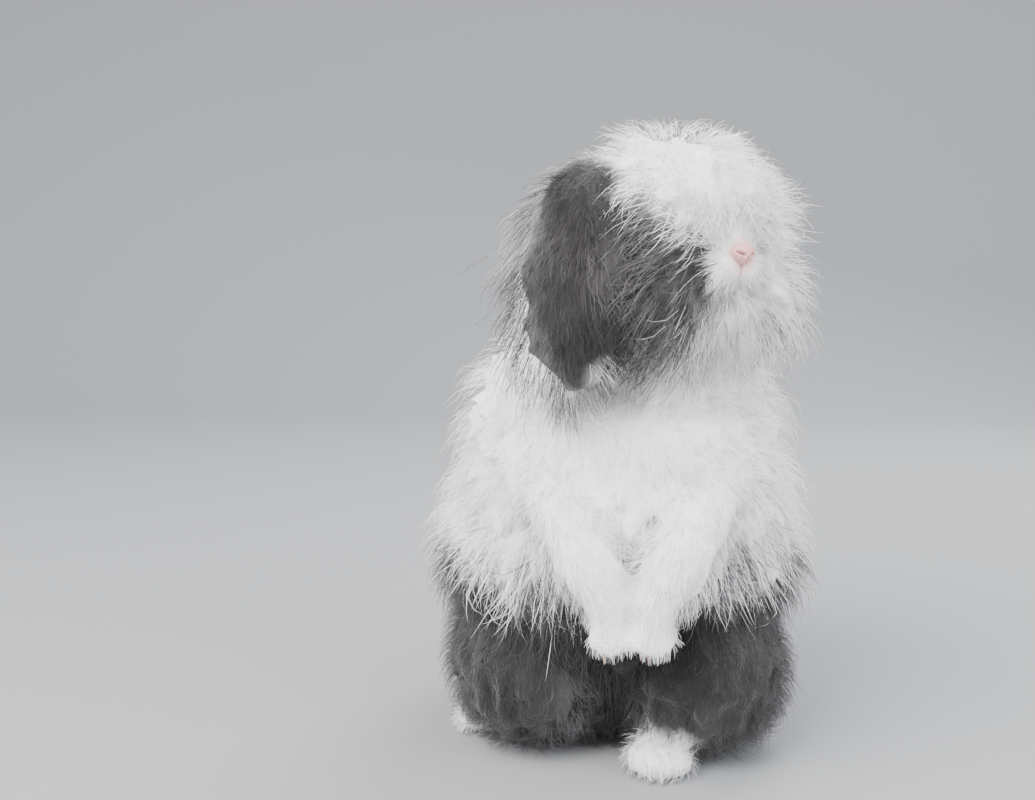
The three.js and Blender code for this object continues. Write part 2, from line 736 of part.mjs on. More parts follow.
let trunk;
[trunk, below] = parted(below, underCut(NECK_CUT));
addNode("neck", below, WHITE_WOOL);
let [haunches, torso] = parted(trunk, underCut(RUMP_CUT));
addNode("torso", torso, WHITE_WOOL);
for (const side of SIDES) {
  const [thigh, rest] = parted(haunches, thighCut(side));
  addNode(`hind_leg_${side}`, thigh, DARK_WOOL);
  haunches = rest;
}
const [tail, rump] = parted(haunches, ellipsoidCut(TAIL_CUT));
addNode("tail", tail, DARK_WOOL);
addNode("rump", rump, DARK_WOOL);

// The origin is on the floor, under the middle of the whole animal.
const whole = new THREE.Box3().setFromObject(rabbit);
const middle = whole.getCenter(vec(0, 0, 0));
rabbit.position.set(-middle.x, -middle.y, -whole.min.z);

export default rabbit;
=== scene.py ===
# %% [markdown]
# # A small lop-eared angora rabbit, sitting up
#
# The measured solids of the rabbit are already packed as a frame, and this lesson dresses them: first a bare
# body in one skin, then its wool, and last eyes, nose and claws. All lengths are in metres, the floor is z =
# 0 and the rabbit faces -Y.

# %% Load the frame and note its box
import math

import bmesh
import bpy
import numpy as np
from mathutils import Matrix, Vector, kdtree


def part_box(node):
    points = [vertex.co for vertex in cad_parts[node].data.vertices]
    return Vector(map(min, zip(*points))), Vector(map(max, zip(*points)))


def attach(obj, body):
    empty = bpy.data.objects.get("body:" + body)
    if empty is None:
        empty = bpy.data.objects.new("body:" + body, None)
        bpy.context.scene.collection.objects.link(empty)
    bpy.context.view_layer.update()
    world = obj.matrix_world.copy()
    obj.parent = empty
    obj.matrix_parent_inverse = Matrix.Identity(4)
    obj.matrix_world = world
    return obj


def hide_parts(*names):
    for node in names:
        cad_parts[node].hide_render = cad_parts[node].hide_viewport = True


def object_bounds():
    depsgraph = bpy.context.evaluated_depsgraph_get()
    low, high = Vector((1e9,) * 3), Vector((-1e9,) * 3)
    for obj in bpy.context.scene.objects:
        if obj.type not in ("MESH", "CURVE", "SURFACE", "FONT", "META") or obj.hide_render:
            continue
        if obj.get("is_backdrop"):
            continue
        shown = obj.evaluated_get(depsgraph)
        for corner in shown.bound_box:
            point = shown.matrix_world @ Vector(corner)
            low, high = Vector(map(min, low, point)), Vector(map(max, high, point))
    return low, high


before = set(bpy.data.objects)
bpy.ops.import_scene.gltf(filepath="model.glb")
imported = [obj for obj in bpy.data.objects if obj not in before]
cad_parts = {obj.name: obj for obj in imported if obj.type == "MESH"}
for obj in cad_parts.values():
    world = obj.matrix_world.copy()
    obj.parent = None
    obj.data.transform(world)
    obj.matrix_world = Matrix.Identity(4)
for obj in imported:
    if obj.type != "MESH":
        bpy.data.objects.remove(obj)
for name in ("Cube", "Camera", "Light"):  # what a new Blender file starts with
    if name in bpy.data.objects:
        bpy.data.objects.remove(bpy.data.objects[name])
solid_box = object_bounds()
print("solids reach from", [round(v, 3) for v in solid_box[0]], "to", [round(v, 3) for v in solid_box[1]])

# %% [markdown]
# ## Where things are
#
# Packing moved the rabbit so that the origin is under the middle of its box. The left eye tells how far: its
# designed centre and the centre of its solid differ by just that shift. The head has a frame of its own,
# turned to the rabbit's left, so that both halves of the face can be written as mirror images.

# %% Head frame and shift
HEAD_TURN = math.radians(38)
HEAD_AT = np.array((0.030, -0.048, 0.292))
EYE_AT = np.array((0.017, -0.015, 0.004))
EYE_RADIUS = 0.009
MIRROR = np.array((-1, 1, 1))
cos, sin = math.cos(HEAD_TURN), math.sin(HEAD_TURN)
HEAD_AXES = np.array(((cos, sin, 0), (-sin, cos, 0), (0, 0, 1)))  # rows: the head's own x, y and z

eye_low, eye_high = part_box("eye_left")
SHIFT = np.array((eye_low + eye_high) / 2) - (EYE_AT @ HEAD_AXES + HEAD_AT)


def from_head(points):
    return np.asarray(points) @ HEAD_AXES + HEAD_AT + SHIFT


def to_head(points):
    return (np.asarray(points) - HEAD_AT - SHIFT) @ HEAD_AXES.T


print("design to frame shift", SHIFT.round(4))

# %% [markdown]
# ## The bare body as a list of lobes
#
# Under its wool a rabbit is a pear. Each line below is one lobe of flesh: its centre, its three radii and the
# depth of the wool on it. The same list later tells how long the wool is at any place, so flesh and coat
# agree.

# %% Lobes of the body and the head
BODY_LOBES = [
    ((-0.003, 0.038, 0.058), (0.054, 0.050, 0.048), 0.044),  # rump
    ((-0.002, 0.008, 0.116), (0.066, 0.050, 0.060), 0.050),  # belly and flanks
    ((0.003, -0.014, 0.156), (0.054, 0.042, 0.042), 0.050),  # chest
    ((0.002, 0.016, 0.190), (0.060, 0.038, 0.038), 0.046),  # shoulders
    ((-0.049, -0.006, 0.050), (0.030, 0.048, 0.038), 0.024),  # right thigh
    ((0.048, -0.014, 0.050), (0.030, 0.048, 0.038), 0.024),  # left thigh
]
NECK_LOBES = [
    ((0.010, 0.006, 0.246), (0.044, 0.036, 0.032), 0.036),  # ruff
    ((0.018, -0.014, 0.226), (0.034, 0.034, 0.028), 0.028),  # throat
]
TAIL_LOBES = [((-0.004, 0.104, 0.030), (0.013, 0.030, 0.014), 0.018)]
HEAD_LOBES = [
    ((0, 0.008, 0.002), (0.027, 0.034, 0.030), 0.040),  # cranium
    ((0.014, -0.004, -0.024), (0.015, 0.024, 0.019), 0.043),  # left jaw
    ((-0.014, -0.004, -0.024), (0.015, 0.024, 0.019), 0.043),  # right jaw
    ((0, -0.012, 0.014), (0.018, 0.018, 0.014), 0.032),  # forehead
    ((0, -0.024, -0.009), (0.017, 0.026, 0.018), 0.020),  # face
    ((0.0075, -0.038, -0.021), (0.010, 0.011, 0.010), 0.008),  # left whisker pad
    ((-0.0075, -0.038, -0.021), (0.010, 0.011, 0.010), 0.008),  # right whisker pad
    ((0, -0.031, -0.033), (0.009, 0.011, 0.007), 0.020),  # chin
]
GROUPS = ["body", "neck", "tail", "head", "ear", "arm", "foot"]
lobes = []


def add_lobe(group, centre, radii, wool, axes=np.eye(3)):
    lobes.append({"group": group, "centre": centre, "radii": np.array(radii), "wool": wool, "axes": axes})


for group, members in (("body", BODY_LOBES), ("neck", NECK_LOBES), ("tail", TAIL_LOBES)):
    for centre, radii, wool in members:
        add_lobe(group, np.array(centre) + SHIFT, radii, wool)
for centre, radii, wool in HEAD_LOBES:
    add_lobe("head", from_head(centre), radii, wool, HEAD_AXES)
print(len(lobes), "lobes so far")

# %% [markdown]
# ## Paths for ears and legs
#
# An ear or a leg is a smooth line with a changing width. A Catmull-Rom curve passes through every joint,
# which makes it easy to aim.


# %% Small helpers and smooth paths
def unit(vectors):
    return vectors / np.maximum(np.linalg.norm(vectors, axis=-1, keepdims=True), 1e-12)


def dot(first, second):
    return (first * second).sum(-1, keepdims=True)


def length_of(vectors):
    return np.linalg.norm(vectors, axis=1)


def eased(value, low, high):
    """0 below low, 1 above high and a soft step between them."""
    t = np.clip((value - low) / (high - low), 0, 1)
    return t * t * (3 - 2 * t)


def groove(distance, width):
    """1 on a line and next to nothing from two widths away."""
    return np.exp(-(distance / width) ** 2)


def along_table(table, count):
    return np.interp(np.linspace(0, 1, count), np.linspace(0, 1, len(table)), table)


def smooth_path(joints, count):
    """Points and unit directions along a Catmull-Rom curve through the joints."""
    joints = np.asarray(joints, float)
    ends = np.vstack((2 * joints[0] - joints[1], joints, 2 * joints[-1] - joints[-2]))
    place = np.linspace(0, len(joints) - 1, count)
    span = np.minimum(place.astype(int), len(joints) - 2)
    t = (place - span)[:, None]
    a, b, c, d = (ends[span + i] for i in range(4))
    bend = (2 * a - 5 * b + 4 * c - d) * t**2 + (3 * b - a - 3 * c + d) * t**3
    points = 0.5 * (2 * b + (c - a) * t + bend)
    return points, unit(np.gradient(points, axis=0))


# %% Ears: their lines in the head's frame, where their outer faces look, and their widths
EAR_JOINTS = {
    "right": [(-0.014, 0.016, 0.018), (-0.034, 0.015, 0.027), (-0.050, 0.010, 0.018),
              (-0.060, 0.005, -0.010), (-0.064, 0.000, -0.046), (-0.062, -0.004, -0.070)],
    "left": [(0.014, 0.016, 0.018), (0.034, 0.018, 0.027), (0.049, 0.021, 0.018),
             (0.058, 0.025, -0.004), (0.063, 0.027, -0.032), (0.062, 0.030, -0.060)],
}
EAR_OUTWARD = {"right": (-0.82, -0.55, 0.15), "left": (0.93, 0.30, 0.15)}
EAR_WIDTHS = (0.015, 0.024, 0.038, 0.042, 0.034, 0.012)
EAR_BULGE = 0.009
EAR_THICK = 0.0036
EAR_WOOL = (0.004, 0.006, 0.012, 0.016, 0.016, 0.013)
EAR_STATIONS = 24
EAR_ROLL = 0.35  # the first part of an ear, which rolls over from facing up


def ear_line(side):
    """The stations of one ear in the frame: places, travel, outward and sideways directions, widths."""
    points, travel = smooth_path(EAR_JOINTS[side], EAR_STATIONS)
    lift = 3 * (1 - eased(np.linspace(0, 1, EAR_STATIONS), 0, EAR_ROLL))
    out = np.array(EAR_OUTWARD[side]) + lift[:, None] * (0, 0, 1)
    out = unit(out - travel * dot(out, travel))
    across = np.cross(travel, out)
    widths = along_table(EAR_WIDTHS, EAR_STATIONS)
    return from_head(points), travel @ HEAD_AXES, out @ HEAD_AXES, across @ HEAD_AXES, widths


ear_lines = {side: ear_line(side) for side in EAR_JOINTS}
for points, travel, out, across, widths in ear_lines.values():
    for i, wool in enumerate(along_table(EAR_WOOL, EAR_STATIONS)):
        axes = np.array((across[i], travel[i], out[i]))
        add_lobe("ear", points[i] + out[i] * EAR_BULGE * 0.5, (widths[i] / 2, 0.006, 0.004), wool, axes)
print(len(lobes), "lobes with the ears")

# %% Legs: the joints of a foreleg, the hind feet, and the depth of their wool
ARM_MIDDLE = 0.007  # x of the line between the forelegs
ARM_JOINTS = np.array([(0.044, -0.050, 0.160), (0.036, -0.076, 0.146), (0.023, -0.094, 0.126),
                       (0.013, -0.100, 0.107), (0.011, -0.103, 0.094)])  # x counts from that line
ARM_RADII = (0.012, 0.011, 0.009, 0.0075, 0.0075)
ARM_WOOL = (0.008, 0.011, 0.016, 0.010, 0.004)
FINGERS = ((-0.0062, -0.0070), (-0.0022, -0.0095), (0.0022, -0.0095), (0.0062, -0.0070))  # x and z
FINGER_RADII = (0.0036, 0.0046, 0.0052)
HIND_FEET = {  # heel and toes
    "right": ((-0.040, 0.044), (-0.076, -0.002)),
    "left": ((0.034, 0.020), (0.024, -0.058)),
}
FOOT_HALF_WIDTH = 0.0135
FOOT_HEIGHT = 0.022
FOOT_WOOL = 0.008
TOES = ((-0.72, 0.005), (-0.25, 0.009), (0.25, 0.009), (0.72, 0.005))  # share of the half width, way ahead
TOE_RADII = (0.0058, 0.0090, 0.0075)
FRONT_CLAW, HIND_CLAW = (0.0034, 0.0011), (0.0070, 0.0014)  # length and radius
ARM_STATIONS, FOOT_STATIONS = 16, 8
UP = np.array((0, 0, 1))

arm_lines, foot_lines, toe_places = {}, {}, []
for side, sign in (("right", -1), ("left", 1)):
    points, travel = smooth_path(ARM_JOINTS * (sign, 1, 1) + (ARM_MIDDLE, 0, 0) + SHIFT, ARM_STATIONS)
    arm_lines[side] = (points, travel)
    stations = zip(points, along_table(ARM_RADII, ARM_STATIONS), along_table(ARM_WOOL, ARM_STATIONS))
    for point, radius, wool in stations:
        add_lobe("arm", point, (radius,) * 3, wool)
    for across, below in FINGERS:
        finger = points[-1] + (across, -0.003, below)
        add_lobe("arm", finger, FINGER_RADII, 0.004)
        toe_places.append((finger + (0, -0.003, -0.0045), np.array((0, -0.55, -0.84)), *FRONT_CLAW))
for side, ends in HIND_FEET.items():
    heel, toes = (np.array((*end, 0)) + SHIFT * (1, 1, 0) for end in ends)
    way = unit(toes - heel)
    across = np.cross(way, UP)
    axes = np.array((across, way, UP))
    foot_lines[side] = (toes, way)
    for share in np.linspace(0.1, 1, FOOT_STATIONS):
        height = FOOT_HEIGHT * (1 - 0.25 * share)
        centre = heel + (toes - heel) * share + UP * height / 2
        add_lobe("foot", centre, (FOOT_HALF_WIDTH, 0.012, height / 2), FOOT_WOOL, axes)
    for place, ahead in TOES:
        toe = toes + way * ahead + across * FOOT_HALF_WIDTH * place + UP * TOE_RADII[2]
        add_lobe("foot", toe, TOE_RADII, 0.0065, axes)
        toe_places.append((toe + way * 0.0075 - UP * 0.002, unit(way - UP * 0.35), *HIND_CLAW))
print(len(lobes), "lobes in all, and", len(toe_places), "toes")

# %% [markdown]
# ## Turning lobes into one skin
#
# Balls that merely overlap would show creases. A voxel remesh melts them into one closed surface, and some
# smoothing turns the creases into soft valleys. The broad body takes larger voxels than the head, and a last
# remesh joins everything without a seam.


# %% Mesh helpers
def flat(values):
    """Numbers in the one plain row that Blender's meshes take."""
    return np.asarray(values, np.float32).ravel()


def new_object(name, mesh):
    made = bpy.data.objects.new(name, mesh)
    bpy.context.scene.collection.objects.link(made)
    return made


def mesh_of(name, points, triangles):
    mesh = bpy.data.meshes.new(name)
    mesh.vertices.add(len(points))
    mesh.vertices.foreach_set("co", flat(points))
    mesh.loops.add(triangles.size)
    mesh.loops.foreach_set("vertex_index", np.asarray(triangles, np.int32).ravel())
    mesh.polygons.add(len(triangles))
    mesh.polygons.foreach_set("loop_start", np.arange(len(triangles), dtype=np.int32) * 3)
    mesh.update(calc_edges=True)
    mesh.polygons.foreach_set("use_smooth", np.ones(len(triangles), bool))
    return mesh


def read(items, key, width=3, kind=np.float32):
    """One row of numbers for each item, such as the places of a mesh's points."""
    numbers = np.empty(len(items) * width, kind)
    items.foreach_get(key, numbers)
    return numbers.reshape(-1, width)


def points_of(mesh):
    return read(mesh.vertices, "co").astype(float)


def move_points(mesh, points):
    mesh.vertices.foreach_set("co", flat(points))
    mesh.update()


def keep_value(mesh, name, values):
    """Store one number at each point of a mesh, for its material to read."""
    mesh.attributes.new(name, "FLOAT", "POINT").data.foreach_set("value", flat(values))


def ball(subdivisions):
    """Points and triangles of a unit icosphere."""
    made = bmesh.new()
    bmesh.ops.create_icosphere(made, subdivisions=subdivisions, radius=1)
    points = np.array([v.co for v in made.verts])
    triangles = np.array([[v.index for v in f.verts] for f in made.faces])
    made.free()
    return points, triangles


BALL_POINTS, BALL_TRIANGLES = ball(4)


def lobe_mesh(lobe):
    points = BALL_POINTS * lobe["radii"] @ lobe["axes"] + lobe["centre"]
    return mesh_of("lobe", points, BALL_TRIANGLES)


def head_ball(centre, radii):
    return lobe_mesh({"centre": from_head(centre), "radii": np.array(radii), "axes": HEAD_AXES})


def joined(name, meshes):
    """One mesh of all the given ones."""
    gathered = bmesh.new()
    for mesh in meshes:
        gathered.from_mesh(mesh)
    whole = bpy.data.meshes.new(name)
    gathered.to_mesh(whole)
    gathered.free()
    return whole


def fused(meshes, voxel, rounds):
    """One closed mesh around all the given ones, smoothed so that their meeting lines turn soft."""
    holder = new_object("holder", joined("source", meshes))
    remesh = holder.modifiers.new("melt", "REMESH")
    remesh.mode = "VOXEL"
    remesh.voxel_size = voxel
    smooth = holder.modifiers.new("soften", "SMOOTH")
    smooth.factor = 0.5
    smooth.iterations = rounds
    result = bpy.data.meshes.new_from_object(holder.evaluated_get(bpy.context.evaluated_depsgraph_get()))
    bpy.data.objects.remove(holder)
    return result


# %% [markdown]
# Ear flaps, claws, whiskers and wool are all tubes through rings of points. An ear flap is a long shell,
# cupped towards the head, so its rings are flat crescents.


# %% Tubes and ear flaps
def tube_triangles(rings, sides, tip):
    """The corners of a tube's triangles. It is flat at its root, and ends in one point or flat as well."""
    triangles = []
    for ring in range(rings - 1):
        for s in range(sides):
            a, b = ring * sides + s, ring * sides + (s + 1) % sides
            triangles += [(a, b, b + sides), (a, b + sides, a + sides)]
    last = (rings - 1) * sides
    if tip:
        triangles += [(last + s, last + (s + 1) % sides, last + sides) for s in range(sides)]
    for s in range(1, sides - 1):
        triangles.append((0, s + 1, s))
        if not tip:
            triangles.append((last, last + s, last + s + 1))
    return np.array(triangles)


def ring_mesh(rings):
    """A closed tube through an array of rings, flat at both ends."""
    return mesh_of("tube", rings.reshape(-1, 3), tube_triangles(*rings.shape[:2], False))


def ear_flap(points, travel, out, across, widths):
    share = np.linspace(-1, 1, 9)
    arch = EAR_BULGE * (1 - share**2)
    u = np.concatenate((share, share[::-1] * 0.94))[None, :, None]
    v = np.concatenate((arch, arch[::-1] - EAR_THICK))[None, :, None]
    return ring_mesh(points[:, None] + u * widths[:, None, None] / 2 * across[:, None] + v * out[:, None])


flaps = [ear_flap(*line) for line in ear_lines.values()]
print(len(flaps), "ear flaps")

# %% Melt the parts together
EYE_SOCKETS = [EYE_AT, EYE_AT * MIRROR]
LID_OVER = 0.0024
PAD_AT, PAD_RADII = (0.0072, -0.039, -0.021), (0.0100, 0.0115, 0.0100)
TRUNK_MELT, SKULL_MELT = (0.004, 12), (0.002, 5)  # the size of the voxels and the rounds of smoothing
LIMB_MELT, SKIN_MELT = (0.0016, 2), (0.0018, 2)


def meshes_of(*groups):
    return [lobe_mesh(lobe) for lobe in lobes if lobe["group"] in groups]


trunk = fused(meshes_of("body", "neck", "tail"), *TRUNK_MELT)
pads = [head_ball(PAD_AT * np.array((side, 1, 1)), PAD_RADII) for side in (1, -1)]
skull = fused([*meshes_of("head"), *pads], *SKULL_MELT)
lid_balls = [head_ball(socket, [EYE_RADIUS + LID_OVER] * 3) for socket in EYE_SOCKETS]
limbs = fused(meshes_of("arm", "foot"), *LIMB_MELT)
skin_mesh = fused([trunk, skull, limbs, *lid_balls, *flaps], *SKIN_MELT)
skin_mesh.name = "skin"
print("skin of", len(skin_mesh.vertices), "points")

# %% [markdown]
# ## Lids, lips and the mouth
#
# These folds are finer than the voxels. So the face is subdivided once, and they are pressed in by moving
# points. An eye opening pushes the skin inside an almond back behind the eyeball, which leaves lids round it.

# %% Press the folds into the face
FACE_FRONT, FACE_HALF = -0.002, (0.034, 0.045)  # the face in the head's frame: its y, and its half x and z
NOSE_AT = np.array((0, -0.0490, -0.0130))
MOUTH_CENTRE = np.array((0, -0.0355, -0.0295))
MOUTH_RADIUS, MOUTH_WIDTH, MOUTH_DEPTH = 0.0146, 0.0013, 0.0016
LIP_WIDTH, LIP_DEPTH, LIP_SPAN = 0.0009, 0.0013, (-0.030, -0.014)
LID_OPENING = np.array((0.0074, 0.0060, 0.0046))
EYE_AXIS = np.array((0.93, -0.34, 0.12))
SOLE = 0.0004  # the skin's height over the floor

face_points = to_head(points_of(skin_mesh))
in_face = (face_points[:, 1] < FACE_FRONT) & (np.abs(face_points[:, ::2]) < FACE_HALF).all(1)
folded = bmesh.new()
folded.from_mesh(skin_mesh)
edges = [e for e in folded.edges if in_face[e.verts[0].index] and in_face[e.verts[1].index]]
bmesh.ops.subdivide_edges(folded, edges=edges, cuts=1, use_grid_fill=True)
bmesh.ops.triangulate(folded, faces=folded.faces)
folded.to_mesh(skin_mesh)
folded.free()


face_points = to_head(points_of(skin_mesh))
x, y, z = face_points.T
ring = np.hypot(np.hypot(x, (y - MOUTH_CENTRE[1]) / 1.12) - MOUTH_RADIUS, z - MOUTH_CENTRE[2])
split = groove(x, LIP_WIDTH) * np.clip((-0.040 - y) / 0.004, 0, 1) * (z > LIP_SPAN[0]) * (z < LIP_SPAN[1])
mouth = groove(ring, MOUTH_WIDTH) * np.clip((-0.030 - y) / 0.008, 0, 1)
face_points[:, 1] += MOUTH_DEPTH * mouth + LIP_DEPTH * split
rim = np.zeros(len(face_points))
for side, socket in zip((1, -1), EYE_SOCKETS):
    axis = unit(EYE_AXIS * (side, 1, 1))
    slit = unit(unit(np.cross(UP, axis)) + UP * 0.25 * side)
    axes = np.array((slit, axis, np.cross(slit, axis)))  # along the slit, out of the eye, and up
    away = face_points - socket
    inside = length_of((away - axis * (EYE_RADIUS + 0.001)) @ axes.T / LID_OPENING)
    pocket = (inside < 1) & (away @ axis > 0)
    face_points[pocket] = socket + unit(away[pocket]) * (EYE_RADIUS - 0.0012)
    rim = np.maximum(rim, groove(np.clip(inside - 1, 0, None), 0.22))
skin_points = from_head(face_points)
skin_points[:, 2] = np.maximum(skin_points[:, 2], SOLE)
move_points(skin_mesh, skin_points)
print("face folds pressed in;", len(skin_points), "points,", int(rim.sum()), "of them on lids")

# %% [markdown]
# ## How deep the wool is and which way it lies
#
# Three questions are asked at every root: how long is the wool here, which way does it lie, and is it dark?
# Formulas on the place alone answer them, so skin and coat get the same marking. A lobe's say fades with the
# distance from it, which makes the depth change softly.

# %% Ask the lobes
FADES = dict(body=0.011, neck=0.010, tail=0.004, head=0.004, ear=0.003, arm=0.003, foot=0.003)
UPWARD_WOOL = 0.65  # wool on a surface that faces up lies this much lower
LEAST_WOOL = 0.0015
# A bare spot in the head's frame: its centre, the radius that stays bare and the one from which wool is full
BARE = [(0.027, -0.010, 0.002, 0.002, 0.009), (0, -0.051, -0.014, 0.0072, 0.0210)]


def lobe_distance(lobe, points):
    local = (points - lobe["centre"]) @ lobe["axes"].T / lobe["radii"]
    length = length_of(local)
    steep = length_of(local / lobe["radii"])
    return length * (length - 1) / np.maximum(steep, 1e-6)


def ask_lobes(points):
    """Wool depth at each point, and the say of each group there, which adds up to one."""
    depth = np.zeros(len(points))
    say = np.zeros((len(points), len(GROUPS)))
    for lobe in lobes:
        weight = np.exp(-np.clip(lobe_distance(lobe, points), 0, 0.2) / FADES[lobe["group"]])
        depth += weight * lobe["wool"]
        say[:, GROUPS.index(lobe["group"])] += weight
    total = say.sum(1)
    return depth / total, say / total[:, None]


def nearest_station(points, places):
    return ((points[:, None] - places[None]) ** 2).sum(2).argmin(1)


def ear_places(points):
    """Which points belong to each ear, their stations, and how far across it they lie, from -1 to 1."""
    left = to_head(points)[:, 0] > 0
    for side, chosen in (("left", left), ("right", ~left)):
        places, travel, out, across, widths = ear_lines[side]
        station = nearest_station(points[chosen], places)
        u = ((points[chosen] - places[station]) * across[station]).sum(1) / (widths[station] / 2)
        yield side, chosen, station, np.clip(u, -1.2, 1.2)


def on_ear(points):
    """How far along its ear each point lies, and how far towards the rear edge, from -1 to 1."""
    along, rearward = np.zeros(len(points)), np.zeros(len(points))
    for side, chosen, station, u in ear_places(points):
        along[chosen] = station / (EAR_STATIONS - 1)
        rearward[chosen] = -u if side == "left" else u
    return along, rearward


def wool_depth(points, normals):
    depth, say = ask_lobes(points)
    along, rearward = on_ear(points)
    depth = depth * (1 + 0.8 * say[:, 4] * eased(rearward, 0.2, 1.0) * eased(along, 0.30, 0.50))
    soft = say[:, :4].sum(1)
    depth = depth * (1 - (1 - UPWARD_WOOL) * soft * np.clip(normals[:, 2], 0, 1))
    local = to_head(points)
    for x0, y0, z0, near, far in BARE:
        clear = eased(length_of(local - (x0, y0, z0)), near, far)
        depth = depth * (1 - say[:, 3] * (1 - clear))
    return np.maximum(depth, LEAST_WOOL), say


def ripple(points, size, seed):
    """A smooth pattern between -1 and 1 with bumps of about the given size, the same on every run."""
    draw = np.random.default_rng(seed)
    total = np.zeros(len(points))
    for _ in range(8):
        way = unit(draw.normal(size=3)) * 2 * math.pi / (size * draw.uniform(1.2, 2.6))
        total += np.sin(points @ way + draw.uniform(0, 2 * math.pi))
    return total / 3.2


# %% Markings: white in front and above, dark grey ears, cheeks and hindquarters
SADDLE_FRONT = 0.118  # height of the line between white and dark wool at the belly
SADDLE_BACK = 0.130
CHEEK_AT = [np.array((0.050, 0.008, -0.036)), np.array((-0.046, -0.024, -0.040))]  # left, right
CHEEK_RADII = np.array((0.030, 0.050, 0.058))
FRAYS = ((0.006, 0.020, 5), (0.003, 0.007, 6))  # height, size and seed of the unevenness of the edges
EAR_DARK, EAR_TIP, EAR_REAR = (0.20, 0.30), (0.98, 1.04), (0.72, 1.15)  # dark from, white from, white from
TOES_WHITE = (-0.020, -0.012)  # how far behind the toes the white of the foot starts


def markings(points, normals, depth, say):
    """1 where the wool is dark and 0 where it is white, judged where the wool shows: out at its tips."""
    shown = points + normals * depth[:, None] * 0.8
    uneven = sum(height * ripple(shown, size, seed) for height, size, seed in FRAYS)
    back = np.clip((shown[:, 1] - SHIFT[1] + 0.06) / 0.15, 0, 1)
    saddle = SADDLE_FRONT + (SADDLE_BACK - SADDLE_FRONT) * back + uneven
    body = 1 - eased(shown[:, 2], saddle - 0.004, saddle + 0.004)
    local = to_head(shown)
    cheek = [length_of((local - centre) / CHEEK_RADII) for centre in CHEEK_AT]
    cheek = 1 - eased(np.minimum(*cheek) + uneven * 12, 0.94, 1.06)
    along, rearward = on_ear(points)
    ear = eased(along + uneven * 5, *EAR_DARK) * (1 - 0.8 * eased(rearward + uneven * 30, *EAR_REAR))
    ear = ear * (1 - 0.8 * eased(along + uneven * 10, *EAR_TIP))
    foot = np.ones(len(points))
    for toes, way in foot_lines.values():
        near = length_of((points - toes)[:, :2]) < 0.06
        foot = np.where(near, 1 - eased((points - toes) @ way, *TOES_WHITE), foot)
    dark = (say[:, 0] + say[:, 2]) * body + say[:, 3] * cheek + say[:, 4] * ear + say[:, 6] * foot
    return np.clip(dark, 0, 1)


# %% The way the wool lies
def lie_of_wool(points, normals, say):
    down = np.array((0, 0, -1.0))
    sideways = normals * (1, 1, 0)
    low = np.clip((0.080 - points[:, 2:3]) / 0.060, 0, 1)
    body = sideways * (0.3 + low) + down * (1 - 0.5 * low)
    neck = sideways + down * 0.9
    tail = np.broadcast_to((0, 0.7, 0.5), points.shape)
    local = to_head(points)
    away = local - NOSE_AT
    crown = np.clip((local[:, 2:3] - 0.008) / 0.020, 0, 1)
    fallen = np.column_stack((local[:, 0] * 20, (local[:, 1] - 0.004) * 12, np.full(len(local), -0.8)))
    from_nose = length_of(away)[:, None]
    head = (unit(away) * (1 - crown) * 0.7 + fallen * eased(from_nose, 0.018, 0.044)) @ HEAD_AXES
    ear, arm, foot = (np.zeros_like(points) for _ in range(3))
    for side, chosen, station, u in ear_places(points):
        places, travel, out, across, widths = ear_lines[side]
        ear[chosen] = travel[station] + across[station] * u[:, None] * 0.55
    left = points[:, 0] - SHIFT[0] > ARM_MIDDLE
    for side, chosen in (("left", left), ("right", ~left)):
        places, travel = arm_lines[side]
        arm[chosen] = travel[nearest_station(points[chosen], places)] + down * 0.3
        foot[chosen] = foot_lines[side][1] + down * 0.25
    flow = sum(say[:, i : i + 1] * way for i, way in enumerate((body, neck, tail, head, ear, arm, foot)))
    return unit(flow - normals * dot(flow, normals))


# %% [markdown]
# ## Paint the skin
#
# The skin keeps two numbers at every point: how dark it is, and how bare and pink, at nose, lips and lids. It
# also gets an unwrap, on which every wisp later finds its place.

# %% Skin values and its unwrap
skin_normals = read(skin_mesh.vertices, "normal").astype(float)
skin_depth, skin_say = wool_depth(skin_points, skin_normals)
keep_value(skin_mesh, "dark", markings(skin_points, skin_normals, skin_depth, skin_say))
near_nose = groove(length_of(to_head(skin_points) - NOSE_AT), 0.009)
keep_value(skin_mesh, "bare", np.clip(near_nose + rim * 0.8 + split * 0.7, 0, 1))


def unwrapped(piece):
    """Unwrap a piece by its own shape, not by a view."""
    bpy.ops.object.select_all(action="DESELECT")
    bpy.context.view_layer.objects.active = piece
    piece.select_set(True)
    bpy.ops.object.mode_set(mode="EDIT")
    bpy.ops.mesh.select_all(action="SELECT")
    bpy.ops.uv.smart_project(angle_limit=math.radians(66), island_margin=0.004)
    bpy.ops.object.mode_set(mode="OBJECT")
    piece.data.uv_layers[0].name = "OFBake"


skin = new_object("skin", skin_mesh)
unwrapped(skin)
print("skin unwrapped onto", len(skin_mesh.uv_layers), "map")

# %% [markdown]
# ## Growing the wool
#
# Particle hair can't be exported, so the wool is made of real little solids. An angora has two coats, and so
# has this one. Thick locks of underwool fill most of the depth, and are later melted into one fleece. Fine
# wisps stand in that fleece, curl, and reach out further. Roots are scattered over the skin by weight, so
# that the coat is about equally close everywhere and closest on the face.

# %% Corners and areas of the skin's triangles
rng = np.random.default_rng(2024)

skin_mesh.calc_loop_triangles()
corners = read(skin_mesh.loop_triangles, "vertices", 3, np.int32)
corner_loops = read(skin_mesh.loop_triangles, "loops", 3, np.int32)
unwrap = read(skin_mesh.uv_layers["OFBake"].data, "uv", 2)

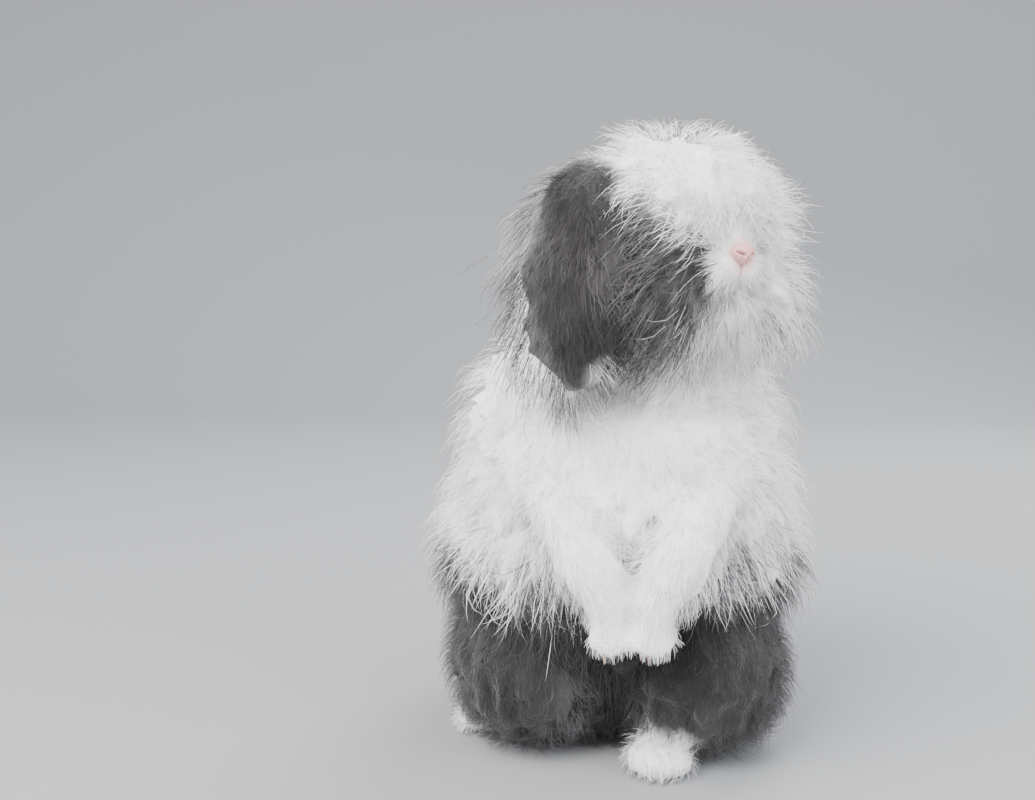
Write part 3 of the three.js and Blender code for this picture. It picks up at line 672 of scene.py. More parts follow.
ends = skin_points[corners]
areas = length_of(np.cross(ends[:, 1] - ends[:, 0], ends[:, 2] - ends[:, 0])) / 2
middle, middle_normal = ends.mean(1), skin_normals[corners].mean(1)
middle_depth = skin_depth[corners].mean(1)
middle_say = skin_say[corners].mean(1)
hairless = middle_depth < 0.0016
hairless |= (middle[:, 2] < 0.012) & (middle_normal[:, 2] < -0.5)  # the soles
for socket in EYE_SOCKETS:
    hairless |= length_of(to_head(middle) - socket) < EYE_RADIUS + 0.0005
print("skin area", round(areas.sum() * 1e4), "square centimetres")


# %% Scatter roots over the skin
def scatter(count, density):
    """Roots by weight of density: places, normals, unwrap places, wool depths, says and markings."""
    wanted = np.where(hairless, 0, areas * density)
    chosen = np.sort(rng.choice(len(corners), count, p=wanted / wanted.sum()))
    mix = rng.random((count, 2))
    mix = np.where(mix.sum(1, keepdims=True) > 1, 1 - mix, mix)
    mix = np.column_stack((1 - mix.sum(1), mix))[:, :, None]
    places = (skin_points[corners[chosen]] * mix).sum(1)
    normals = unit((skin_normals[corners[chosen]] * mix).sum(1))
    depth, say = wool_depth(places, normals)
    uv = (unwrap[corner_loops[chosen]] * mix).sum(1)
    dark, lie = markings(places, normals, depth, say), lie_of_wool(places, normals, say)
    return {"at": places, "normal": normals, "uv": uv, "depth": depth, "say": say, "dark": dark, "lie": lie}


def by_group(say, **shares):
    return say @ np.array([shares[group] for group in GROUPS])


def lock_width(depth):
    return 0.0024 + 0.17 * depth


SPREAD = 0.055  # the coat's surface grows with its depth about as a ball of this radius would
UNDERWOOL = 8000
WISPS = 84000
opening = (1 + middle_depth / SPREAD) ** 2
from_nose = length_of(to_head(middle) - NOSE_AT)
lock_density = opening / lock_width(middle_depth) ** 2 * (middle_depth > 0.004)
lock_density *= by_group(middle_say, body=1, neck=1, tail=1, head=1.6, ear=1.2, arm=1.4, foot=1.0)
lock_density *= eased(from_nose, 0.017, 0.026)
wisp_density = opening * by_group(middle_say, body=1, neck=1, tail=3.5, head=3.2, ear=2.6, arm=2.8, foot=2.6)
wisp_density *= 1 + 0.6 * markings(middle, middle_normal, middle_depth, middle_say) * middle_say[:, 0]
wisp_density *= 1 + 1.2 * groove(from_nose, 0.035) + 9 * groove(from_nose, 0.019)
underwool = scatter(UNDERWOOL, lock_density)
wisps = scatter(WISPS, wisp_density)
deepest, shallowest = wisps["depth"].max() * 1000, wisps["depth"].min() * 1000
print("wool from", round(shallowest, 1), "to", round(deepest, 1), "mm deep")

# %% [markdown]
# Wool gathers in small clumps that lean their own way, so every wisp leans and curls with its nearest clump.
# Each strand is walked along in steps: its direction starts between the normal and the lie of the coat, and
# turns a little at each step. Then the strand is scaled so that it ends at the wished share of the wool's
# depth.

# %% How strands are walked
STAND = dict(body=0.80, neck=0.76, tail=0.72, head=0.74, ear=0.36, arm=0.42, foot=0.25)
LEAST_RISE = dict(body=0.75, neck=0.72, tail=0.70, head=0.68, ear=0.50, arm=0.55, foot=0.55)
LOCK_RISE = 0.8
SHORT_WOOL = 0.016  # wool shorter than this lies flatter
DROOP = 1.5  # how much a strand bends towards the lie on its way
BILLOWS = ((0.08, 0.032, 11), (0.05, 0.012, 12))  # height, size and seed of the waves in the wool's depth


def tree_of(places):
    tree = kdtree.KDTree(len(places))
    for i, place in enumerate(places):
        tree.insert(place, i)
    tree.balance()
    return tree


def turned(vectors, axes, angles):
    """Vectors turned about unit axes by small angles."""
    along, angles = axes * dot(axes, vectors), angles[:, None]
    return along + (vectors - along) * np.cos(angles) + np.cross(axes, vectors) * np.sin(angles)


def walk(roots, steps, share, lean, curl_axis, curl, least_rise):
    """The joints of each strand. steps are the parts of its length, share its reach in the wool's depth."""
    normal, lie, depth = roots["normal"], roots["lie"], roots["depth"]
    stand = by_group(roots["say"], **STAND) * eased(depth, 0, SHORT_WOOL) + 0.16 * (depth < SHORT_WOOL)
    stand = np.clip(stand, 0.18, 1)[:, None]
    way = unit(normal * stand + lie * (1 - stand) + lean)
    joints = [np.zeros_like(normal)]
    for step in steps:
        joints.append(joints[-1] + way * step)
        way = unit(turned(way, curl_axis, curl) + lie * DROOP * step)
    joints = np.stack(joints, axis=1)
    rise = (joints * normal[:, None]).sum(2).max(1)
    billow = 1 + sum(height * ripple(roots["at"], size, seed) for height, size, seed in BILLOWS)
    size = depth * share * billow / np.maximum(rise, least_rise)
    return roots["at"][:, None] + joints * size[:, None, None]


def random_ways(count, low, high, seed):
    draw = np.random.default_rng(seed)
    return unit(draw.normal(size=(count, 3))) * draw.uniform(low, high, (count, 1))


def random_turns(count, spread, seed):
    return np.random.default_rng(seed).normal(0, spread, count)


# %% Walk the locks and the wisps
LOCK_STEPS, WISP_STEPS = (0.42, 0.30, 0.20, 0.08), (0.64, 0.14, 0.12, 0.10)
LOCK_REACH, WISP_REACH, LONG_REACH = (0.70, 0.84), (0.84, 1.04), (1.04, 1.16)  # shares of the wool's depth
LOCK_LEAN, CLUMP_LEAN, WISP_LEAN = (0.05, 0.30), (0.05, 0.45), (0.03, 0.32)
LOCK_CURL, WISP_CURL = 0.20, 0.40
WISP_CLUMPS = 9000
LONG_WISPS = 1 / 14  # the share of wisps with the long reach
SHALLOW = (0.006, 0.020)  # wool depths between which wisps get wilder and start further out

lock_share = rng.uniform(*LOCK_REACH, UNDERWOOL) - 0.10 * (1 - eased(underwool["depth"], 0.008, 0.026))
lock_share -= 0.12 * underwool["say"][:, GROUPS.index("ear")]
lock_axes = unit(random_ways(UNDERWOOL, 1, 1, 2))
lock_lean, lock_curl = random_ways(UNDERWOOL, *LOCK_LEAN, 1), random_turns(UNDERWOOL, LOCK_CURL, 3)
lock_joints = walk(underwool, LOCK_STEPS, lock_share, lock_lean, lock_axes, lock_curl, LOCK_RISE)

leaders = np.random.default_rng(4).choice(WISPS, WISP_CLUMPS, replace=False)
tree = tree_of(wisps["at"][leaders])
clump = np.array([tree.find(place)[1] for place in wisps["at"]])  # the nearest clump of each wisp
clump_lean = random_ways(WISP_CLUMPS, *CLUMP_LEAN, 5)[clump]
lean = clump_lean + random_ways(WISPS, *WISP_LEAN, 6)
curl_axis = unit(random_ways(WISP_CLUMPS, 1, 1, 7)[clump] + random_ways(WISPS, 0.2, 0.8, 8))
curl = random_turns(WISP_CLUMPS, WISP_CURL, 9)[clump] + random_turns(WISPS, WISP_CURL, 10)
share = rng.uniform(*WISP_REACH, WISPS)
share = np.where(rng.random(WISPS) < LONG_WISPS, rng.uniform(*LONG_REACH, WISPS), share)
deep = eased(wisps["depth"], *SHALLOW)
calm = 1 - 0.5 * (1 - deep)  # short wisps lean and curl half as much
wisp_rise = by_group(wisps["say"], **LEAST_RISE)
wisp_joints = walk(wisps, WISP_STEPS, share, lean * calm[:, None], curl_axis, curl * calm, wisp_rise)
print("walked", UNDERWOOL + WISPS, "strands")

# %% [markdown]
# ## From strands to little solids
#
# A wisp only starts where the fleece gets loose enough to show it. Wool scatters light like a cloud rather
# than like a heap of blades, so a wisp's normals are mostly those of the skin below and only partly its own.


# %% Build solids around strands
def tubes(joints, widths, fullness, sides, squash, normals, seed):
    """Points and normals of a tapered tube around every row of joints, whose last joint is the tip."""
    draw = np.random.default_rng(seed)
    count, rings = len(joints), joints.shape[1] - 1
    travel = unit(np.gradient(joints, axis=1))
    side = unit(np.cross(travel, unit(draw.normal(size=(count, 1, 3)))))
    up = np.cross(travel, side)
    turn = np.arange(sides) * 2 * math.pi / sides
    spoke = side[:, :, None] * np.cos(turn)[:, None] + up[:, :, None] * np.sin(turn)[:, None] * squash
    spoke = spoke[:, :rings]
    size = widths[:, None, None, None] / 2 * np.asarray(fullness)[:, None, None]
    points = (joints[:, :rings, None] + spoke * size).reshape(count, -1, 3)
    shading = (unit(spoke) * (1 - SOFTNESS) + normals[:, None, None] * SOFTNESS).reshape(count, -1, 3)
    points = np.concatenate((points, joints[:, -1:]), axis=1)
    shading = np.concatenate((shading, normals[:, None]), axis=1)
    return points, unit(shading)


def tube_rows(count, rings, sides):
    """The triangles of many tubes with tips, whose points follow one another."""
    first = np.arange(count)[:, None, None] * (rings * sides + 1)
    return (first + tube_triangles(rings, sides, True)).reshape(-1, 3)


LOCK_RINGS, LOCK_SIDES, LOCK_FULLNESS, LOCK_SQUASH = 4, 4, (0.50, 0.90, 1.00, 0.62), 0.9
WISP_RINGS, WISP_SIDES, WISP_FULLNESS, WISP_SQUASH = 3, 3, (1.0, 0.85, 0.45), 0.7
SOFTNESS = 0.78  # the skin's share in a wisp's normals
lock_widths = lock_width(underwool["depth"]) * rng.uniform(0.8, 1.2, UNDERWOOL)
lock_points = tubes(
    lock_joints, lock_widths, LOCK_FULLNESS, LOCK_SIDES, LOCK_SQUASH, underwool["normal"], 21)[0]

hidden = 0.9 * deep[:, None]  # the share of the first step that is left out, inside the fleece
wisp_joints[:, 0] = wisp_joints[:, 0] * (1 - hidden) + wisp_joints[:, 1] * hidden
wisp_joints = np.delete(wisp_joints, 1, axis=1)
wisp_widths = by_group(wisps["say"], body=1, neck=1, tail=1, head=0.95, ear=0.9, arm=1, foot=1)
wisp_widths *= (0.00024 + 0.0036 * wisps["depth"]) * rng.uniform(0.75, 1.25, WISPS)
wisp_points, wisp_shading = tubes(
    wisp_joints, wisp_widths, WISP_FULLNESS, WISP_SIDES, WISP_SQUASH, wisps["normal"], 22)
print(len(lock_points), "locks and", len(wisp_points), "wisps of", wisp_points.shape[1], "points each")

# %% Keep the tips inside their bounds
FLOOR_CLEAR = 0.0006
FLOOR_ROOM = 0.0034  # the lowest wool is pressed up within this height
PROUD = 0.007  # how far single wisps may stand out of the box of the solids


def bounded(points):
    """Points pressed back smoothly where they would leave the box of the solids by more than PROUD."""
    for axis in range(3):
        over = solid_box[1][axis]
        low = FLOOR_CLEAR if axis == 2 else solid_box[0][axis] - PROUD
        room = FLOOR_ROOM if axis == 2 else PROUD
        value = points[..., axis]
        value = np.where(value > over, over + PROUD - PROUD * np.exp(-(value - over) / PROUD), value)
        under = low + room
        points[..., axis] = np.where(value < under, low + room * np.exp((value - under) / room), value)
    return points


lock_points, wisp_points = bounded(lock_points), bounded(wisp_points)
spans = [wisp_points.min((0, 1)).round(3), wisp_points.max((0, 1)).round(3)]
print("the wisps span", *spans)

# %% [markdown]
# ## Dividing the coat into pieces
#
# A coat in one mesh would be too heavy to handle, so the wisps are divided by the part their root stands on.

# %% Name the piece of every wisp
AXIS_Y = 0.010  # the body's upright axis, from which the quarters are told
FRONT_ANGLE, BACK_ANGLE = 0.8, 2.3
UPPER_FROM, CROWN_FROM, FACE_BEFORE = 0.165, 0.010, -0.022


def name_pieces(roots):
    at, local = roots["at"] - SHIFT, to_head(roots["at"])
    angle = np.arctan2(at[:, 0], AXIS_Y - at[:, 1])
    quarters = [np.abs(angle) < FRONT_ANGLE, np.abs(angle) > BACK_ANGLE, angle > 0]
    quarter = np.select(quarters, ["front", "back", "left"], "right")
    level = np.select([roots["dark"] >= 0.5, at[:, 2] > UPPER_FROM], ["lower", "upper"], "middle")
    side = np.where(at[:, 0] > 0.003, "left", "right")
    head_side = np.where(local[:, 0] > 0, "left", "right")
    crown, face = local[:, 2] > CROWN_FROM, local[:, 1] < FACE_BEFORE
    head_part = np.select([crown, face], ["crown", "face"], "cheek")
    two = lambda first, second: np.char.add(np.char.add(first, "_"), second)
    names = [two(level, quarter), two("neck", side), np.full(len(at), "tail"), two(head_part, head_side)]
    names += [two("ear", head_side), two("foreleg", side), two("hind_foot", side)]
    main = roots["say"].argmax(1)
    return np.select([main == i for i in range(len(GROUPS))], names, "")


def lock_shade(places):
    """A slow change of tone over the coat, streaked as by longer and shorter locks."""
    broad, fine = ripple(places * (1, 1, 0.4), 0.020, 31), ripple(places * (1, 1, 0.3), 0.007, 32)
    return 0.5 + 0.26 * broad + 0.16 * fine


# %% Build the pieces
PATCH = 0.003  # a wisp's patch on the unwrap
WISP_ALONG = np.array((0.35, 0.65, 0.85, 1.0))  # how far out in the wool each ring and the tip are
wisp_corners = WISP_RINGS * WISP_SIDES + 1
along = np.append(np.repeat(WISP_ALONG[:-1], WISP_SIDES), WISP_ALONG[-1])
across = np.append(np.tile(np.linspace(0, 1, WISP_SIDES), WISP_RINGS), 0.5)
patch = np.column_stack((across, along)) * PATCH
tone = np.clip(lock_shade(wisps["at"]) + rng.normal(0, 0.08, WISPS) + clump_lean[:, 0] * 0.2, 0, 1)
coat = []


def coat_piece(name, members):
    """One mesh of many wisps, with their markings, their own tones and their patches on the unwrap."""
    triangles = tube_rows(len(members), WISP_RINGS, WISP_SIDES)
    mesh = mesh_of(name, wisp_points[members].reshape(-1, 3), triangles)
    normals = mesh.attributes.new("custom_normal", "FLOAT_VECTOR", "POINT")
    normals.data.foreach_set("vector", flat(wisp_shading[members]))
    keep_value(mesh, "dark", np.repeat(wisps["dark"][members], wisp_corners))
    keep_value(mesh, "along", np.tile(along, len(members)))
    keep_value(mesh, "tone", np.repeat(tone[members], wisp_corners))
    spots = (wisps["uv"][members][:, None] + patch).reshape(-1, 2)[triangles.ravel()]
    mesh.uv_layers.new(name="OFBake").data.foreach_set("uv", flat(spots))
    coat.append(new_object(name, mesh))
    print(f"{name}: {len(members)} wisps, {len(triangles)} triangles")


names = name_pieces(wisps)
for name in sorted(set(names)):
    coat_piece(f"wool_{name}", np.flatnonzero(names == name))

# %% [markdown]
# ## One fleece out of all the locks
#
# The locks and the lobes, grown by a part of their wool, are melted into one soft, lumpy surface. Each of its
# points takes its marking and tone from the nearest locks.

# %% Melt the locks of the underwool into one fleece
# The shares of the wool's depth that are solid under the locks
FLEECE_CORE = dict(body=0.5, neck=0.5, tail=0.5, head=0.35, ear=0.35, arm=0.4, foot=0.3)
FLEECE_MELT = (0.0028, 10)
FLEECE_NEIGHBOURS = 12
FACE_WOOL = 0.020  # lobes of the face with no more wool than this stay out, so that the nose keeps its shape

cores = []
for lobe in lobes:
    if lobe["group"] != "head" or lobe["wool"] > FACE_WOOL:
        cores.append(lobe_mesh(dict(lobe, radii=lobe["radii"] + lobe["wool"] * FLEECE_CORE[lobe["group"]])))
lock_mesh = mesh_of("locks", lock_points.reshape(-1, 3), tube_rows(UNDERWOOL, LOCK_RINGS, LOCK_SIDES))
fleece = fused([*cores, lock_mesh], *FLEECE_MELT)
move_points(fleece, bounded(points_of(fleece)))
tree = tree_of(lock_joints[:, 3])
found = [tree.find_n(place, FLEECE_NEIGHBOURS) for place in points_of(fleece)]
near = np.array([[number for place, number, distance in row] for row in found])
keep_value(fleece, "dark", underwool["dark"][near].mean(1))
keep_value(fleece, "along", np.full(len(near), 0.5))
keep_value(fleece, "tone", np.clip(lock_shade(underwool["at"])[near].mean(1) - 0.05, 0, 1))
coat.append(new_object("wool_fleece", fleece))
unwrapped(coat[-1])
print("fleece of", sum(len(face.vertices) - 2 for face in fleece.polygons), "triangles")

# %% [markdown]
# ## Eyes, nose, claws and whiskers
#
# An eye is a ball that bulges a little at the cornea. Its point values say how far each point is from the
# line of sight, so that pupil, iris and the dark ring round it can be coloured as rings.

# %% Eyes
CORNEA, CORNEA_SPREAD = 0.0012, 0.62
EYE_GAP = 0.0006  # the ball is this much smaller than its socket

eyes = {}
points, triangles = ball(5)
for side, name, socket in ((1, "left", EYE_SOCKETS[0]), (-1, "right", EYE_SOCKETS[1])):
    gaze = np.arccos(np.clip(points @ unit(EYE_AXIS * (side, 1, 1)), -1, 1))
    shaped = points * (EYE_RADIUS - EYE_GAP + CORNEA * groove(gaze, CORNEA_SPREAD))[:, None]
    mesh = mesh_of("eye", from_head(shaped + socket), triangles)
    keep_value(mesh, "gaze", gaze / math.pi)
    eyes[name] = new_object(f"eyeball_{name}", mesh)
print("eyes of", len(eyes["left"].data.polygons), "triangles each")

# %% [markdown]
# The nose is a small pink pad. Two slits run slantwise into it as nostrils, and a groove divides it below and
# runs on as the split of the upper lip.

# %% Nose
NOSE_RADII = np.array((0.0074, 0.0050, 0.0056))
NOSTRIL_DEPTH, NOSE_SPLIT_DEPTH = 0.0024, 0.0013

points, triangles = ball(6)
px, py, pz = points.T
front = np.clip(-py, 0, 1)
shaped = points * NOSE_RADII
shaped[:, 0] *= 1 - 0.30 * np.clip(-pz, 0, 1)  # narrower below
slit = np.zeros(len(points))
for side in (1, -1):
    run = px * side
    curve = -0.10 + 0.55 * (run - 0.30) + 0.35 * (run - 0.55) ** 2
    slit += groove(pz - curve, 0.12) * eased(run, 0.16, 0.30) * (1 - eased(run, 0.74, 0.92))
middle_split = groove(px, 0.09) * eased(-pz, 0.10, 0.35)
shaped[:, 1] += (NOSTRIL_DEPTH * slit + NOSE_SPLIT_DEPTH * middle_split) * front
nose_mesh = mesh_of("nose_pad", from_head(shaped + NOSE_AT + (0, 0.0006, 0)), triangles)
# Painted shade: the nostril slits and the groove below are marked here, to be coloured dark red as if in
# shade.
keep_value(nose_mesh, "inner", np.clip(slit + middle_split * 0.6, 0, 1) * front)
nose = new_object("nose_pad", nose_mesh)
print("nose of", len(nose_mesh.polygons), "triangles")

# %% [markdown]
# Claws and whiskers are both thin, bent spikes: a claw is a short horn at the end of a toe, and six whiskers
# droop from each pad.

# %% Claws and whiskers
WHISKERS = 6
WHISKER_RADIUS = 0.00014
WHISKER_LENGTHS = (0.030, 0.048)
t = np.linspace(0, 1, 7)


def spike(start, way, bend, length, thick, sides, hint, squash=1.0):
    """A tapering solid that leaves start along way and bends. thick is its radius at each ring."""
    line = start + way * (t * length)[:, None] + np.array(bend) * (t**2 * length)[:, None]
    side = unit(np.cross(way, hint))
    turn = np.arange(sides) * 2 * math.pi / sides
    ring = side * np.cos(turn)[:, None] * squash + np.cross(side, way) * np.sin(turn)[:, None]
    return line[:, None] + ring * thick[:, None, None]


claw_tubes = []
for place, way, length, radius in toe_places:
    thick = radius * (1 - t) ** 0.6 + radius * 0.06
    claw_tubes.append(ring_mesh(spike(place, way, (0, 0, -0.35), length, thick, 8, (0, 0, 1), 0.75)))
claw_mesh = joined("claws", claw_tubes)
claw_points = points_of(claw_mesh)
claw_points[:, 2] = np.maximum(claw_points[:, 2], FLOOR_CLEAR)
move_points(claw_mesh, claw_points)
claws = new_object("claws", claw_mesh)

draw = np.random.default_rng(77)
whisker_tubes = []
for side in (1, -1):
    for i in range(WHISKERS):
        row, place = divmod(i, 4)
        start = np.array((side * (0.011 + 0.001 * place), -0.043 + 0.003 * place, -0.016 - 0.0035 * row))
        way = unit(np.array((side * draw.uniform(0.8, 1.0), -0.15 + 0.25 * place, 0.25 - 0.22 * row)))
        thick = WHISKER_RADIUS * (1.02 - t) ** 0.7
        length = draw.uniform(*WHISKER_LENGTHS)
        shape = spike(start, way, (0, 0.10, -0.60), length, thick, 5, (0.1, 0.2, 1.0))
        whisker_tubes.append(ring_mesh(from_head(shape)))
whiskers = new_object("whiskers", joined("whiskers", whisker_tubes))
print(len(claw_tubes), "claws and", len(whisker_tubes), "whiskers")

# %% [markdown]
# ## A small language for materials
#
# The class below wraps one socket, so that a sum or a product written in Python adds its Math node. Colours
# go through Mix nodes, because a Math node would turn them grey. Every other node comes from one method:
# first its settings, then what goes into its sockets.


# %% Wires and finishes
class Wire:
    """One value or colour on its way through a material."""

    def __init__(self, finish, socket):
        self.finish, self.socket = finish, socket

    def _maths(self, operation, first, second):
        return self.finish.node("ShaderNodeMath", {"operation": operation}, {0: first, 1: second})

    def __add__(self, other): return self._maths("ADD", self, other)
    def __radd__(self, other): return self._maths("ADD", other, self)
    def __rsub__(self, other): return self._maths("SUBTRACT", other, self)
    def __mul__(self, other): return self._maths("MULTIPLY", self, other)
    def __rmul__(self, other): return self._maths("MULTIPLY", other, self)
    def __pow__(self, other): return self._maths("POWER", self, other)


class Finish:
    """A material with one Principled shader, whose named sockets get the given constants."""

    def __init__(self, name, constants):
        self.material = bpy.data.materials.new(name)
        self.material.use_nodes = True
        self.tree = self.material.node_tree
        self.shader = self.tree.nodes["Principled BSDF"]
        for socket, value in constants.items():
            self.shader.inputs[socket].default_value = value

    def node(self, kind, settings=None, inputs=None, output=0):
        made = self.tree.nodes.new(kind)
        for key, value in (settings or {}).items():
            if key == "stops":
                ramp = made.color_ramp.elements
                while len(ramp) < len(value):
                    ramp.new(0.5)
                for stop, (place, colour) in zip(ramp, value):
                    stop.position, stop.color = place, (*colour, 1)
            else:
                setattr(made, key, value)
        for key, value in (inputs or {}).items():
            self.feed(made.inputs[key], value)
        return Wire(self, made.outputs[output])

    def feed(self, socket, value):
        if isinstance(value, Wire):
            self.tree.links.new(value.socket, socket)
        elif socket.type == "RGBA" and len(value) == 3:
            socket.default_value = (*value, 1)
        else:
            socket.default_value = value

    def stored(self, name):
        """A value that the mesh keeps at its points."""
        return self.node("ShaderNodeAttribute", {"attribute_name": name}, output="Fac")

    def blend(self, first, second, share, how="MIX"):
        settings = {"data_type": "RGBA", "blend_type": how}
        return self.node("ShaderNodeMix", settings, {0: share, 6: first, 7: second}, output=2)

    def noise(self, size, detail=3, stretch=(1, 1, 1)):
        place = self.node("ShaderNodeTexCoord", output="Object")
        place = self.node("ShaderNodeVectorMath", {"operation": "MULTIPLY"}, {0: place, 1: stretch})
        return self.node("ShaderNodeTexNoise", {}, {"Vector": place, "Scale": 1 / size, "Detail": detail})

    def bump(self, height, strength, distance):
        return self.node("ShaderNodeBump", {}, {"Strength": strength, "Distance": distance, "Height": height})

    def paint(self, sockets):
        for socket, value in sockets.items():
            self.feed(self.shader.inputs[socket], value)
        return self.material


# %% [markdown]
# ## Wool
#
# White angora is creamy near the skin and bright at the tips, and dark wool runs from nearly black roots to
# tips bleached grey. One recipe serves wisps and fleece. It reads how far out a point is, whether the wool
# there is dark, and its tone. The fleece adds a fine streaked relief, because its locks are melted together.

# %% Wool finish
WHITE_ROOT, WHITE_TIP = (0.89, 0.875, 0.865), (0.95, 0.95, 0.953)
DARK_ROOT, DARK_TIP = (0.007, 0.0058, 0.0063), (0.058, 0.052, 0.055)
SILVER_TIP = (0.16, 0.15, 0.155)
STREAKS = (1, 1, 0.4)
WOOL_SHADER = {"Roughness": 0.9, "Specular IOR Level": 0.12, "Sheen Weight": 0.2, "Sheen Roughness": 0.6}


def wool_finish(name, streaked=False):
    finish = Finish(name, WOOL_SHADER)
    along, dark, tone = (finish.stored(name) for name in ("along", "dark", "tone"))
    white = finish.blend(WHITE_ROOT, WHITE_TIP, along)
    grey = finish.blend(DARK_ROOT, DARK_TIP, along**1.6)
    bleached = {"Value": tone, "From Min": 0.66, "From Max": 1.05}
    silver = finish.node("ShaderNodeMapRange", {"clamp": True}, bleached)
    grey = finish.blend(grey, SILVER_TIP, silver * along)
    colour = finish.blend(white, grey, dark)
    shade = (0.93 + 0.10 * tone) * (1 - dark) + (0.35 + 0.9 * tone) * dark
    grain = finish.node("ShaderNodeCombineColor", {}, {0: shade, 1: shade, 2: shade})
    if streaked:
        relief = finish.noise(0.0030, 4, STREAKS) + 0.5 * finish.noise(0.0010, 3, STREAKS)
        finish.paint({"Normal": finish.bump(relief, 0.8, 0.0022)})
    return finish.paint({"Base Color": finish.blend(colour, grain, 1.0, "MULTIPLY")})


wool, fleece_wool = wool_finish("wool"), wool_finish("fleece", streaked=True)
for piece in coat:
    piece.data.materials.append(fleece_wool if piece.name == "wool_fleece" else wool)
whiskers.data.materials.append(wool)
print("wool on", len(coat), "pieces")

# %% [markdown]
# ## Skin, nose, eyes and claws
#
# Skin is mottled and rough, the nose pebbled and moist, the eye wet, and horn smooth with a grain.

# %% Skin finish
SKIN_WHITE, SKIN_DARK, SKIN_PINK = (0.86, 0.82, 0.80), (0.020, 0.017, 0.019), (0.72, 0.40, 0.36)
SPECKLES = [(0.3, (0.86,) * 3), (0.7, (1.0,) * 3)]

finish = Finish("skin", {"Roughness": 0.75, "Specular IOR Level": 0.3})
speckle = finish.node("ShaderNodeValToRGB", {"stops": SPECKLES}, {0: finish.noise(0.004, 4)})
furred = finish.blend(SKIN_WHITE, SKIN_DARK, finish.stored("dark"))
colour = finish.blend(furred, SKIN_PINK, finish.stored("bare") * 0.9)
colour = finish.blend(colour, speckle, 1.0, "MULTIPLY")
bump = finish.bump(finish.noise(0.0012, 2), 0.35, 0.0006)
skin_mesh.materials.append(finish.paint({"Base Color": colour, "Normal": bump}))
print("skin painted")

# %% Nose and claw finishes
# The dark red is painted shade for the nostril slits and the groove below them.
NOSE_PINK, NOSE_HOLLOW_SHADE, NOSE_PALE = (0.66, 0.33, 0.31), (0.20, 0.045, 0.055), (0.85, 0.62, 0.58)
HORN_PALE, HORN_DARK = (0.42, 0.33, 0.28), (0.16, 0.11, 0.09)
NOSE_SHADER = {"Specular IOR Level": 0.45, "Subsurface Weight": 0.15, "Subsurface Scale": 0.003}

finish = Finish("nose", NOSE_SHADER)
pebbles = finish.noise(0.0009, 3)
# The nostril slits and the groove are painted dark red: painted shade in these hollows.
colour = finish.blend(NOSE_PINK, NOSE_HOLLOW_SHADE, finish.stored("inner") ** 1.5)
colour = finish.blend(colour, NOSE_PALE, pebbles * 0.35)
moist = 0.40 + 0.25 * pebbles
bump = finish.bump(pebbles, 0.5, 0.0005)
nose_mesh.materials.append(finish.paint({"Base Color": colour, "Roughness": moist, "Normal": bump}))

finish = Finish("claw", {"Roughness": 0.35, "Specular IOR Level": 0.5})
grain = finish.noise(0.002, 3)
colour = finish.blend(HORN_PALE, HORN_DARK, grain)
claw_mesh.materials.append(finish.paint({"Base Color": colour, "Normal": finish.bump(grain, 0.2, 0.0002)}))
print("nose and claws painted")

# %% Eye finish
EYE_RINGS = [
    (0.00, (0.002, 0.002, 0.003)),
    (0.12, (0.002, 0.002, 0.003)),
    (0.14, (0.055, 0.022, 0.012)),
    (0.23, (0.090, 0.040, 0.020)),
    (0.27, (0.012, 0.006, 0.005)),
    (0.34, (0.20, 0.17, 0.16)),
]
IRIS_STREAK = (0.16, 0.075, 0.035)
EYE_SHADER = {"Roughness": 0.06, "Specular IOR Level": 0.6, "Coat Weight": 1.0, "Coat Roughness": 0.02}

for piece in eyes.values():
    finish = Finish("eye", EYE_SHADER)
    rings = finish.node("ShaderNodeValToRGB", {"stops": EYE_RINGS}, {0: finish.stored("gaze")})
    colour = finish.blend(rings, IRIS_STREAK, finish.noise(0.0008, 4) * 0.12)
    piece.data.materials.append(finish.paint({"Base Color": colour}))
print("eyes painted")

# %% [markdown]
# ## Where each piece belongs
#
# The rabbit doesn't move, so every piece rides on the one body. The skin stands for all the solids of flesh,
# and eyes and nose for their own.

# %% Ride and replace
FLESH = ["head", "neck", "torso", "rump", "tail", "ear_left", "ear_right"]
FLESH += ["foreleg_left", "foreleg_right", "hind_leg_left", "hind_leg_right"]
DARK_WORDS = ("ear", "lower", "tail")
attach(skin, "root")
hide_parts(*FLESH)
for piece in coat:
    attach(piece, "root")
    "dark_wool" if any(word in piece.name for word in DARK_WORDS) else "white_wool"
for name, piece in eyes.items():
    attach(piece, "root")
    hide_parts(f"eye_{name}")
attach(nose, "root")
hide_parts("nose")
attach(claws, "root")
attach(whiskers, "root")
print(len(coat) + 6, "pieces ride on the root")

# %% [markdown]
# ## Studio
#
# A wide, pale floor sweeps up behind. The main lamp stands high on the left in front, a weaker one fills from
# the right, and a third from behind lights up the edge of the wool.

# %% Floor and lamps
SWEEP_START, SWEEP_RADIUS, SWEEP_HEIGHT, SWEEP_HALF = 1.4, 1.2, 5.0, 6.0
FLOOR_COLOUR, SKY_COLOUR, SKY_STRENGTH = (0.29, 0.294, 0.30), (0.92, 0.95, 1.0, 1), 1.6
MIDDLE = (0, 0, 0.18)  # where the lamps aim
LAMPS = [  # name, place, size, power and colour
    ("main_lamp", (-0.9, -1.3, 1.5), 1.4, 108, (1.0, 0.99, 0.97)),
    ("fill_lamp", (1.5, -1.0, 0.7), 1.6, 38, (0.95, 0.97, 1.0)),
    ("edge_lamp", (0.6, 1.1, 1.3), 1.0, 36, (1.0, 1.0, 1.0)),
]

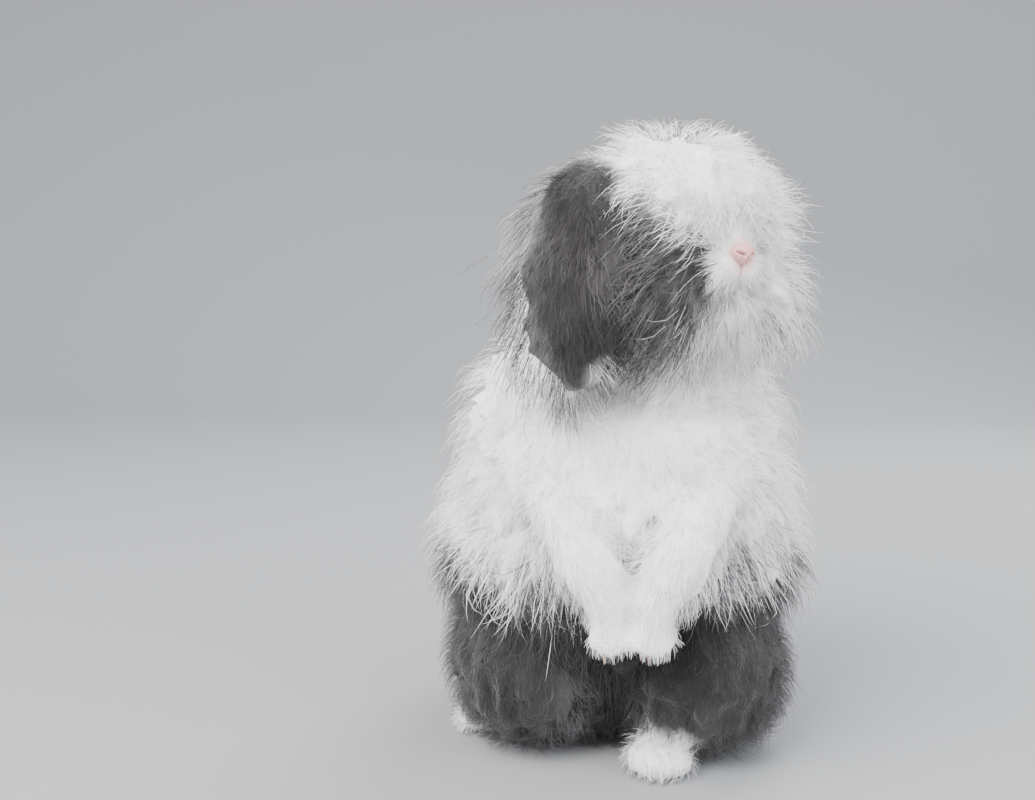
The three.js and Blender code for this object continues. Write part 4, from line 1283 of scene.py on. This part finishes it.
profile = [(-SWEEP_HALF, 0.0)]
for angle in np.linspace(0, math.pi / 2, 25):
    profile.append((SWEEP_START + SWEEP_RADIUS * math.sin(angle), SWEEP_RADIUS * (1 - math.cos(angle))))
profile.append((SWEEP_START + SWEEP_RADIUS, SWEEP_HEIGHT))
sweep = np.array([(x, y, z) for y, z in profile for x in (-SWEEP_HALF, SWEEP_HALF)])
firsts = range(0, len(sweep) - 2, 2)
strips = [(i, i + 1, i + 3) for i in firsts] + [(i, i + 3, i + 2) for i in firsts]
floor_mesh = mesh_of("floor", sweep, np.array(strips))
floor = new_object("floor", floor_mesh)
floor_finish = Finish("floor", {"Roughness": 0.85, "Specular IOR Level": 0.1})
floor_mesh.materials.append(floor_finish.paint({"Base Color": FLOOR_COLOUR}))
floor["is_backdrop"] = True

for name, place, size, power, colour in LAMPS:
    light = bpy.data.lights.new(name, "AREA")
    light.shape = "SQUARE"
    light.size, light.energy, light.color = size, power, colour
    holder = new_object(name, light)
    holder.location = place
    holder.rotation_euler = (Vector(MIDDLE) - Vector(place)).to_track_quat("-Z", "Y").to_euler()
world = bpy.data.worlds.new("studio")
world.use_nodes = True
world.node_tree.nodes["Background"].inputs["Color"].default_value = SKY_COLOUR
world.node_tree.nodes["Background"].inputs["Strength"].default_value = SKY_STRENGTH
bpy.context.scene.world = world
print("floor, three lamps and a pale sky")

# %% [markdown]
# ## Camera
#
# The photo was taken from about 0.7 m in front, a little above the nose. At one camera distance, a length as
# long as that distance covers 1200 pixels of the picture, which gives the lens.

# %% Camera
PICTURE_WIDTH = 1035
FOCAL_PIXELS = 1200
SENSOR = 36.0
EYE_POINT = np.array((0, -0.690, 0.275))
LOOK_LEFT = math.radians(4.88)
LOOK_DOWN = math.radians(6.56)

camera_data = bpy.data.cameras.new("camera")
camera_data.sensor_width = SENSOR
camera_data.lens = SENSOR * FOCAL_PIXELS / PICTURE_WIDTH
camera_data.clip_start = 0.02
camera = new_object("camera", camera_data)
camera.location = EYE_POINT + SHIFT
camera.rotation_euler = (math.pi / 2 - LOOK_DOWN, 0, LOOK_LEFT)
bpy.context.scene.camera = camera
print("camera lens", round(camera_data.lens, 1), "mm")

# %% [markdown]
# ## Measure and finish
#
# The sizes of the solids and of everything shown are kept side by side.

# %% Sizes and the last line
bpy.context.view_layer.update()
shown_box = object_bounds()
for axis in range(3):
    solid_side = solid_box[1][axis] - solid_box[0][axis]
    shown_side = shown_box[1][axis] - shown_box[0][axis]
    print("xyz"[axis], "solids", round(solid_side, 4), "shown", round(shown_side, 4))
